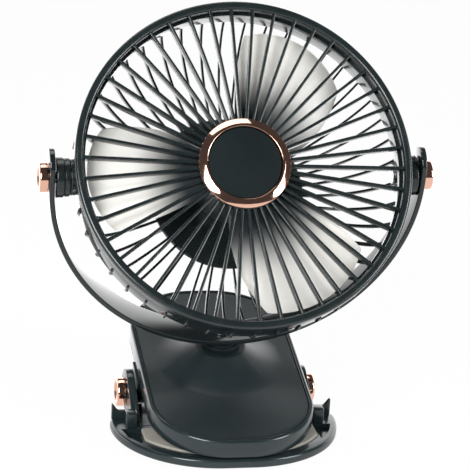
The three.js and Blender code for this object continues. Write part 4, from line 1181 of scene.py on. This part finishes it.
def tray_loop(by):
    """The outline of the lower jaw, moved in by a distance: tray, bridge and handle."""
    right = arc(TRAY_HALF - TRAY_CORNER, TRAY_FRONT + TRAY_CORNER, TRAY_CORNER - by, -QUARTER, 36)
    back = TRAY_BACK_CORNER
    right += arc(TRAY_HALF - back, TRAY_REAR - back, back - by, 0, 8)
    right += [(EAR_OUT - by, TRAY_REAR - by), (EAR_OUT - by, BRIDGE_REAR - by)]
    right += [(HANDLE_HALF - by, BRIDGE_REAR - by)]
    right += arc(HANDLE_HALF - HANDLE_CORNER, HANDLE_REAR - HANDLE_CORNER, HANDLE_CORNER - by, 0, 12)
    left = [(-x, y) for x, y in reversed(right)]
    return right + left


def tray():
    """The lower jaw's body: a recess for the sole pad beneath and rounded edges."""
    edge = round_edge(TRAY_ROUND, 4)
    profile = [(SOLE_INSET, SOLE_TOP), (SOLE_INSET, TRAY_BASE), (TRAY_ROUND, TRAY_BASE)]
    profile += [(by, TRAY_BASE + up) for up, by in edge[1:]]
    profile += [(by, TRAY_TOP - down) for by, down in edge]
    return loft([raised(tray_loop(by), z) for by, z in profile])


def tray_arc_x(y, by):
    """Where the front corner's arc, moved in by a distance, crosses a line along X."""
    radius = TRAY_CORNER - by
    drop = y - (TRAY_FRONT + TRAY_CORNER)
    return TRAY_HALF - TRAY_CORNER + math.sqrt(radius * radius - drop * drop)


def pad_loop(out):
    """The grip pad's outline: the tray's front moved in, with straight sides."""
    x, y = TRAY_HALF - TRAY_CORNER, TRAY_FRONT + TRAY_CORNER
    radius = TRAY_CORNER - PAD_INSET + out
    last = math.acos((PAD_HALF + out - x) / radius)
    right = []
    for k in range(25):
        turn = -QUARTER + (QUARTER - last) * k / 24
        right.append((x + radius * math.cos(turn), y + radius * math.sin(turn)))
    right += arc(PAD_HALF - PAD_CORNER, PAD_REAR - PAD_CORNER, PAD_CORNER + out, 0, 5)
    return right + [(-x, y) for x, y in reversed(right)]


def pocket(side):
    """What is cut from the tray beside the grip pad."""
    inner = PAD_HALF + 1.2
    outline = [(inner, POCKET_REAR), (inner, POCKET_FRONT)]
    for k in range(13):
        y = POCKET_FRONT + (POCKET_REAR - POCKET_FRONT) * k / 12
        outline.append((tray_arc_x(y, POCKET_INSET), y))
    return slab([(side * x, y) for x, y in outline], POCKET_FLOOR, 9)


def ear(side):
    """An upright plate, round about the hinge, that carries the pin."""
    outline = [(EAR_FRONT, EAR_BASE), (BRIDGE_REAR, EAR_BASE), (EAR_ROUND, HINGE_Z)]
    for k in range(1, 25):
        turn = EAR_SWEEP * k / 24
        outline.append((EAR_ROUND * math.cos(turn), HINGE_Z + EAR_ROUND * math.sin(turn)))
    near, far = sorted((side * EAR_IN, side * EAR_OUT))
    return side_plate(outline, near, far)


def horn(side):
    """A thin plate across the tray's rear edge, its outer end drawn up to a point."""
    outline = rounded([
        (HORN_IN, HORN_FOOT),
        (HORN_OUT, HORN_FOOT),
        (HORN_OUT, 13.4, 0.5),
        (55.5, 11.6, 3),
        (53.6, HORN_LOW, 2),
        (HORN_IN, HORN_LOW),
    ], 6)
    return loft([[(side * x, y, z) for x, z in outline] for y in (HORN_FRONT, HORN_REAR)])


def bar_along_x(radius, half, sides):
    """A round bar through the hinge, for cutting."""
    bar = scratch(turned([(0, -half), (radius, -half), (radius, half), (0, half)], sides, "X"))
    bar.data.transform(Matrix.Translation((0, 0, HINGE_Z)))
    return bar


base = scratch(tray())
additions = []
for side in (-1, 1):
    near, far = sorted((side * HORN_IN, side * WEB_OUT))
    additions += [
        scratch(ear(side), 0.5),
        scratch(horn(side), 0.5),
        scratch(block(near, far, EAR_FRONT, WEB_REAR, HORN_FOOT, WEB_TOP), 0.8),
    ]
cuts = [scratch(slab(pad_loop(GAP), 4.5, 12)), scratch(pocket(-1)), scratch(pocket(1))]
combined(base, cuts, "DIFFERENCE")
combined(base, additions, "UNION")
trough = bar_along_x(TROUGH, EAR_IN, TROUGH_SIDES)
bore = bar_along_x(PIN_HOLE, 60, BORE_SIDES)
combined(base, [trough, bore], "DIFFERENCE")
take("clip_base", base, GROUND, "lower_clip", "shell", ["lower_jaw"])


def grip_pad():
    """The lower grip pad, rounded along its top edge."""
    profile = [(0, PAD_BASE)] + [(-by, PAD_TOP - down) for by, down in round_edge(ROUND, 4)]
    return loft([raised(pad_loop(out), z) for out, z in profile])


AT_HINGE = Matrix.Translation(HINGE)
make("grip_pad", grip_pad(), GROUND, "lower_clip", "rubber", ["lower_grip_pad"])
for side, word in SIDES:
    cap = pivot_cap(side, EAR_OUT + GAP)
    make(f"pin_cap_{word}", cap, AT_HINGE, "lower_clip", "rose", [f"hinge_cap_{word}"])


# ---- torsion springs ----
def tube(line, radius, sides=14):
    """A closed tube along a smooth line of points."""
    turns = [FULL * k / sides for k in range(sides)]
    loops = []
    across = Vector((1, 0, 0))
    for i, point in enumerate(line):
        ahead = (line[min(i + 1, len(line) - 1)] - line[max(i - 1, 0)]).normalized()
        across = (across - ahead * across.dot(ahead)).normalized()
        up = ahead.cross(across)
        loops.append([point + radius * (across * math.cos(t) + up * math.sin(t)) for t in turns])
    return loft(loops)


def spring_line(side):
    """The middle of a spring's wire: a leg on the lower jaw, the coils, a leg on the upper jaw."""
    sweep = COILS * FULL + COIL_EXTRA
    steps = COILS * COIL_STEPS + 15
    coils = []
    for k in range(steps + 1):
        wound = sweep * k / steps
        angle = -QUARTER - wound
        x = side * (COIL_START + COIL_PITCH * wound / FULL)
        coils.append(Vector((x, COIL * math.cos(angle), COIL * math.sin(angle))))
    first = [coils[0] + Vector((0, y, 0)) for y in (LEG, LEG * 0.5, 2, 1)]
    away = Vector((0, math.cos(LEG_LEAN), math.sin(LEG_LEAN)))
    last = [coils[-1] + away * reach for reach in (1, 2, LEG * 0.5, LEG)]
    return first + coils + last


for side, word in SIDES:
    name = f"jaw_spring_{word}"
    wire = tube(spring_line(side), WIRE)
    piece = make(f"wound_{name}", wire, AT_HINGE, None, "spring", [name])
    low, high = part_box(name)
    near, far = (low.x, high.x) if side > 0 else (high.x, low.x)
    start, end = ((x, 0, HINGE_Z * MM) for x in (near, far))
    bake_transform(piece)
    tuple(start)
    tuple(end)

# ---- finishes of the CAD nodes that stay ----
KEPT = {
    "sole": ["sole_pad"],
    "steel": [
        "hinge_pin", "charge_socket", "swivel_bolt", "swivel_nut", "swivel_washer", "motor_shaft",
        "impeller_nut", "pivot_pin_right", "pivot_pin_left", "motor_screw_1", "motor_screw_2",
        "motor_screw_3", "cover_screw_right", "cover_screw_left",
    ],
    "shell": ["jaw_cover"],
    "rubber": ["upper_grip_pad"],
    "foil": ["battery_pack"],
    "board": ["charge_board", "switch_board"],
    "lens": ["charge_lamp"],
    "black": ["power_switch"],
}
for finish, names in KEPT.items():
    for name in names:
        mesh = nodes[name].data
        if not mesh.materials:
            mesh.materials.append(None)
        for k in range(len(mesh.materials)):
            mesh.materials[k] = finishes[finish]

# ---- Studio: floor, light and camera (in metres) ----
FLOOR = 1.6
FLOOR_SIDES = 64
FLOOR_LEVEL = -0.0005
FLOOR_SHARE = 0.965
FLOOR_BEHIND = 2.0
ROOM_LEVEL = 0.2
ROOM_MIRRORED = 0.07
ROOM_HORIZON = 2.6
AIM = (0, 0, 0.12)
CAMERA_LEFT = math.radians(11.481)
CAMERA_UP = math.radians(18.548)
CAMERA_ROLL = math.radians(3.043)
CAMERA_PLACE = (-0.21996, -1.11490, 0.47688)
CAMERA_SENSOR = 36
CAMERA_LENS = 180.58
WHITE = (1, 1, 1, 1)


def seen_white(tree, shader_out, share, behind):
    """Mixes plain light into what the camera and mirrors see of the floor, more of it far behind."""
    path = tree.nodes.new("ShaderNodeLightPath")
    place = tree.nodes.new("ShaderNodeTexCoord")
    parts = tree.nodes.new("ShaderNodeSeparateXYZ")
    far = smooth_step(tree, From_Min=0, From_Max=0.2, To_Max=behind)
    mirrored = maths(tree, "MULTIPLY_ADD", third=1)
    either = maths(tree, "MAXIMUM")
    amount = maths(tree, "MULTIPLY", share)
    glow = preset(tree.nodes.new("ShaderNodeEmission"), Color=WHITE)
    mix = tree.nodes.new("ShaderNodeMixShader")
    join = tree.links.new
    join(place.outputs["Object"], parts.inputs[0])
    join(parts.outputs["Y"], far.inputs["Value"])
    join(far.outputs[0], mirrored.inputs[0])
    join(path.outputs["Is Glossy Ray"], mirrored.inputs[1])
    join(mirrored.outputs[0], glow.inputs["Strength"])
    join(path.outputs["Is Camera Ray"], either.inputs[0])
    join(path.outputs["Is Glossy Ray"], either.inputs[1])
    join(either.outputs[0], amount.inputs[0])
    join(amount.outputs[0], mix.inputs[0])
    join(shader_out, mix.inputs[1])
    join(glow.outputs[0], mix.inputs[2])
    return mix.outputs[0]


def studio_floor():
    """A plain pale floor that keeps the part's shadow."""
    turns = [FULL * k / FLOOR_SIDES for k in range(FLOOR_SIDES)]
    outline = [(FLOOR * math.cos(t), FLOOR * math.sin(t), FLOOR_LEVEL) for t in turns]
    mesh = bpy.data.meshes.new("floor")
    mesh.from_pydata(outline, [], [tuple(range(FLOOR_SIDES))])
    floor = link("floor", mesh)
    material = bpy.data.materials.new("pale floor")
    material.use_nodes = True
    tree = material.node_tree
    shader = tree.nodes["Principled BSDF"]
    preset(shader, Base_Color=(0.9, 0.9, 0.9, 1), Roughness=0.9)
    mixed = seen_white(tree, shader.outputs[0], FLOOR_SHARE, FLOOR_BEHIND)
    tree.links.new(mixed, tree.nodes["Material Output"].inputs["Surface"])
    mesh.materials.append(material)


def studio_world(level, mirrored, horizon):
    """Soft light all round; mirrors see it dimmer, with a bright wall low down behind the part."""
    world = bpy.data.worlds.new("studio")
    bpy.context.scene.world = world
    world.use_nodes = True
    tree = world.node_tree
    tree.nodes.clear()
    join = tree.links.new
    direction = tree.nodes.new("ShaderNodeTexCoord")
    parts = tree.nodes.new("ShaderNodeSeparateXYZ")
    join(direction.outputs["Generated"], parts.inputs[0])
    low = smooth_step(tree, From_Min=0.35, From_Max=0.62, To_Min=1, To_Max=0)
    behind = smooth_step(tree, From_Min=0.15, From_Max=0.5)
    path = tree.nodes.new("ShaderNodeLightPath")
    both = maths(tree, "MULTIPLY")
    seen = maths(tree, "MULTIPLY")
    around = maths(tree, "MULTIPLY_ADD", mirrored - level, level)
    strength = maths(tree, "MULTIPLY_ADD", horizon)
    join(parts.outputs["Z"], low.inputs["Value"])
    join(parts.outputs["Y"], behind.inputs["Value"])
    join(low.outputs[0], both.inputs[0])
    join(behind.outputs[0], both.inputs[1])
    join(both.outputs[0], seen.inputs[0])
    join(path.outputs["Is Glossy Ray"], seen.inputs[1])
    join(path.outputs["Is Glossy Ray"], around.inputs[0])
    join(seen.outputs[0], strength.inputs[0])
    join(around.outputs[0], strength.inputs[2])
    soft = preset(tree.nodes.new("ShaderNodeBackground"), Color=WHITE)
    join(strength.outputs[0], soft.inputs["Strength"])
    white = preset(tree.nodes.new("ShaderNodeBackground"), Color=WHITE)
    mix = tree.nodes.new("ShaderNodeMixShader")
    out = tree.nodes.new("ShaderNodeOutputWorld")
    join(path.outputs["Is Camera Ray"], mix.inputs[0])
    join(soft.outputs[0], mix.inputs[1])
    join(white.outputs[0], mix.inputs[2])
    join(mix.outputs[0], out.inputs["Surface"])


def softbox(name, place, width, height, watts):
    """A rectangular lamp that looks at the part."""
    lamp = bpy.data.lights.new(name, "AREA")
    lamp.shape = "RECTANGLE"
    lamp.size = width
    lamp.size_y = height
    lamp.energy = watts
    item = link(name, lamp)
    item.location = place
    item.rotation_euler = (Vector(AIM) - Vector(place)).to_track_quat("-Z", "Y").to_euler()


def camera():
    """The camera of the photograph: turned 11.5 degrees to the left, 18.5 up, rolled 3.0."""
    level = math.cos(CAMERA_UP)
    back = Vector((-math.sin(CAMERA_LEFT) * level, -math.cos(CAMERA_LEFT) * level, math.sin(CAMERA_UP)))
    right = Vector((math.cos(CAMERA_LEFT), -math.sin(CAMERA_LEFT), 0))
    up = back.cross(right)
    across = right * math.cos(CAMERA_ROLL) + up * math.sin(CAMERA_ROLL)
    upright = up * math.cos(CAMERA_ROLL) - right * math.sin(CAMERA_ROLL)
    lens = bpy.data.cameras.new("camera")
    lens.sensor_width = CAMERA_SENSOR
    lens.lens = CAMERA_LENS
    lens.clip_start = 0.05
    item = link("camera", lens)
    turn = Matrix((across, upright, back)).transposed().to_4x4()
    item.matrix_world = Matrix.Translation(CAMERA_PLACE) @ turn
    bpy.context.scene.camera = item


studio_floor()
studio_world(ROOM_LEVEL, ROOM_MIRRORED, ROOM_HORIZON)
softbox("key softbox", (-0.66, -0.92, 0.62), 0.5, 0.7, 17)
softbox("fill softbox", (0.9, -0.7, 0.5), 0.4, 0.8, 11)
softbox("top softbox", (-0.1, 0.35, 1.1), 0.8, 0.5, 3.5)
camera()
bpy.context.scene.view_settings.view_transform = "Standard"
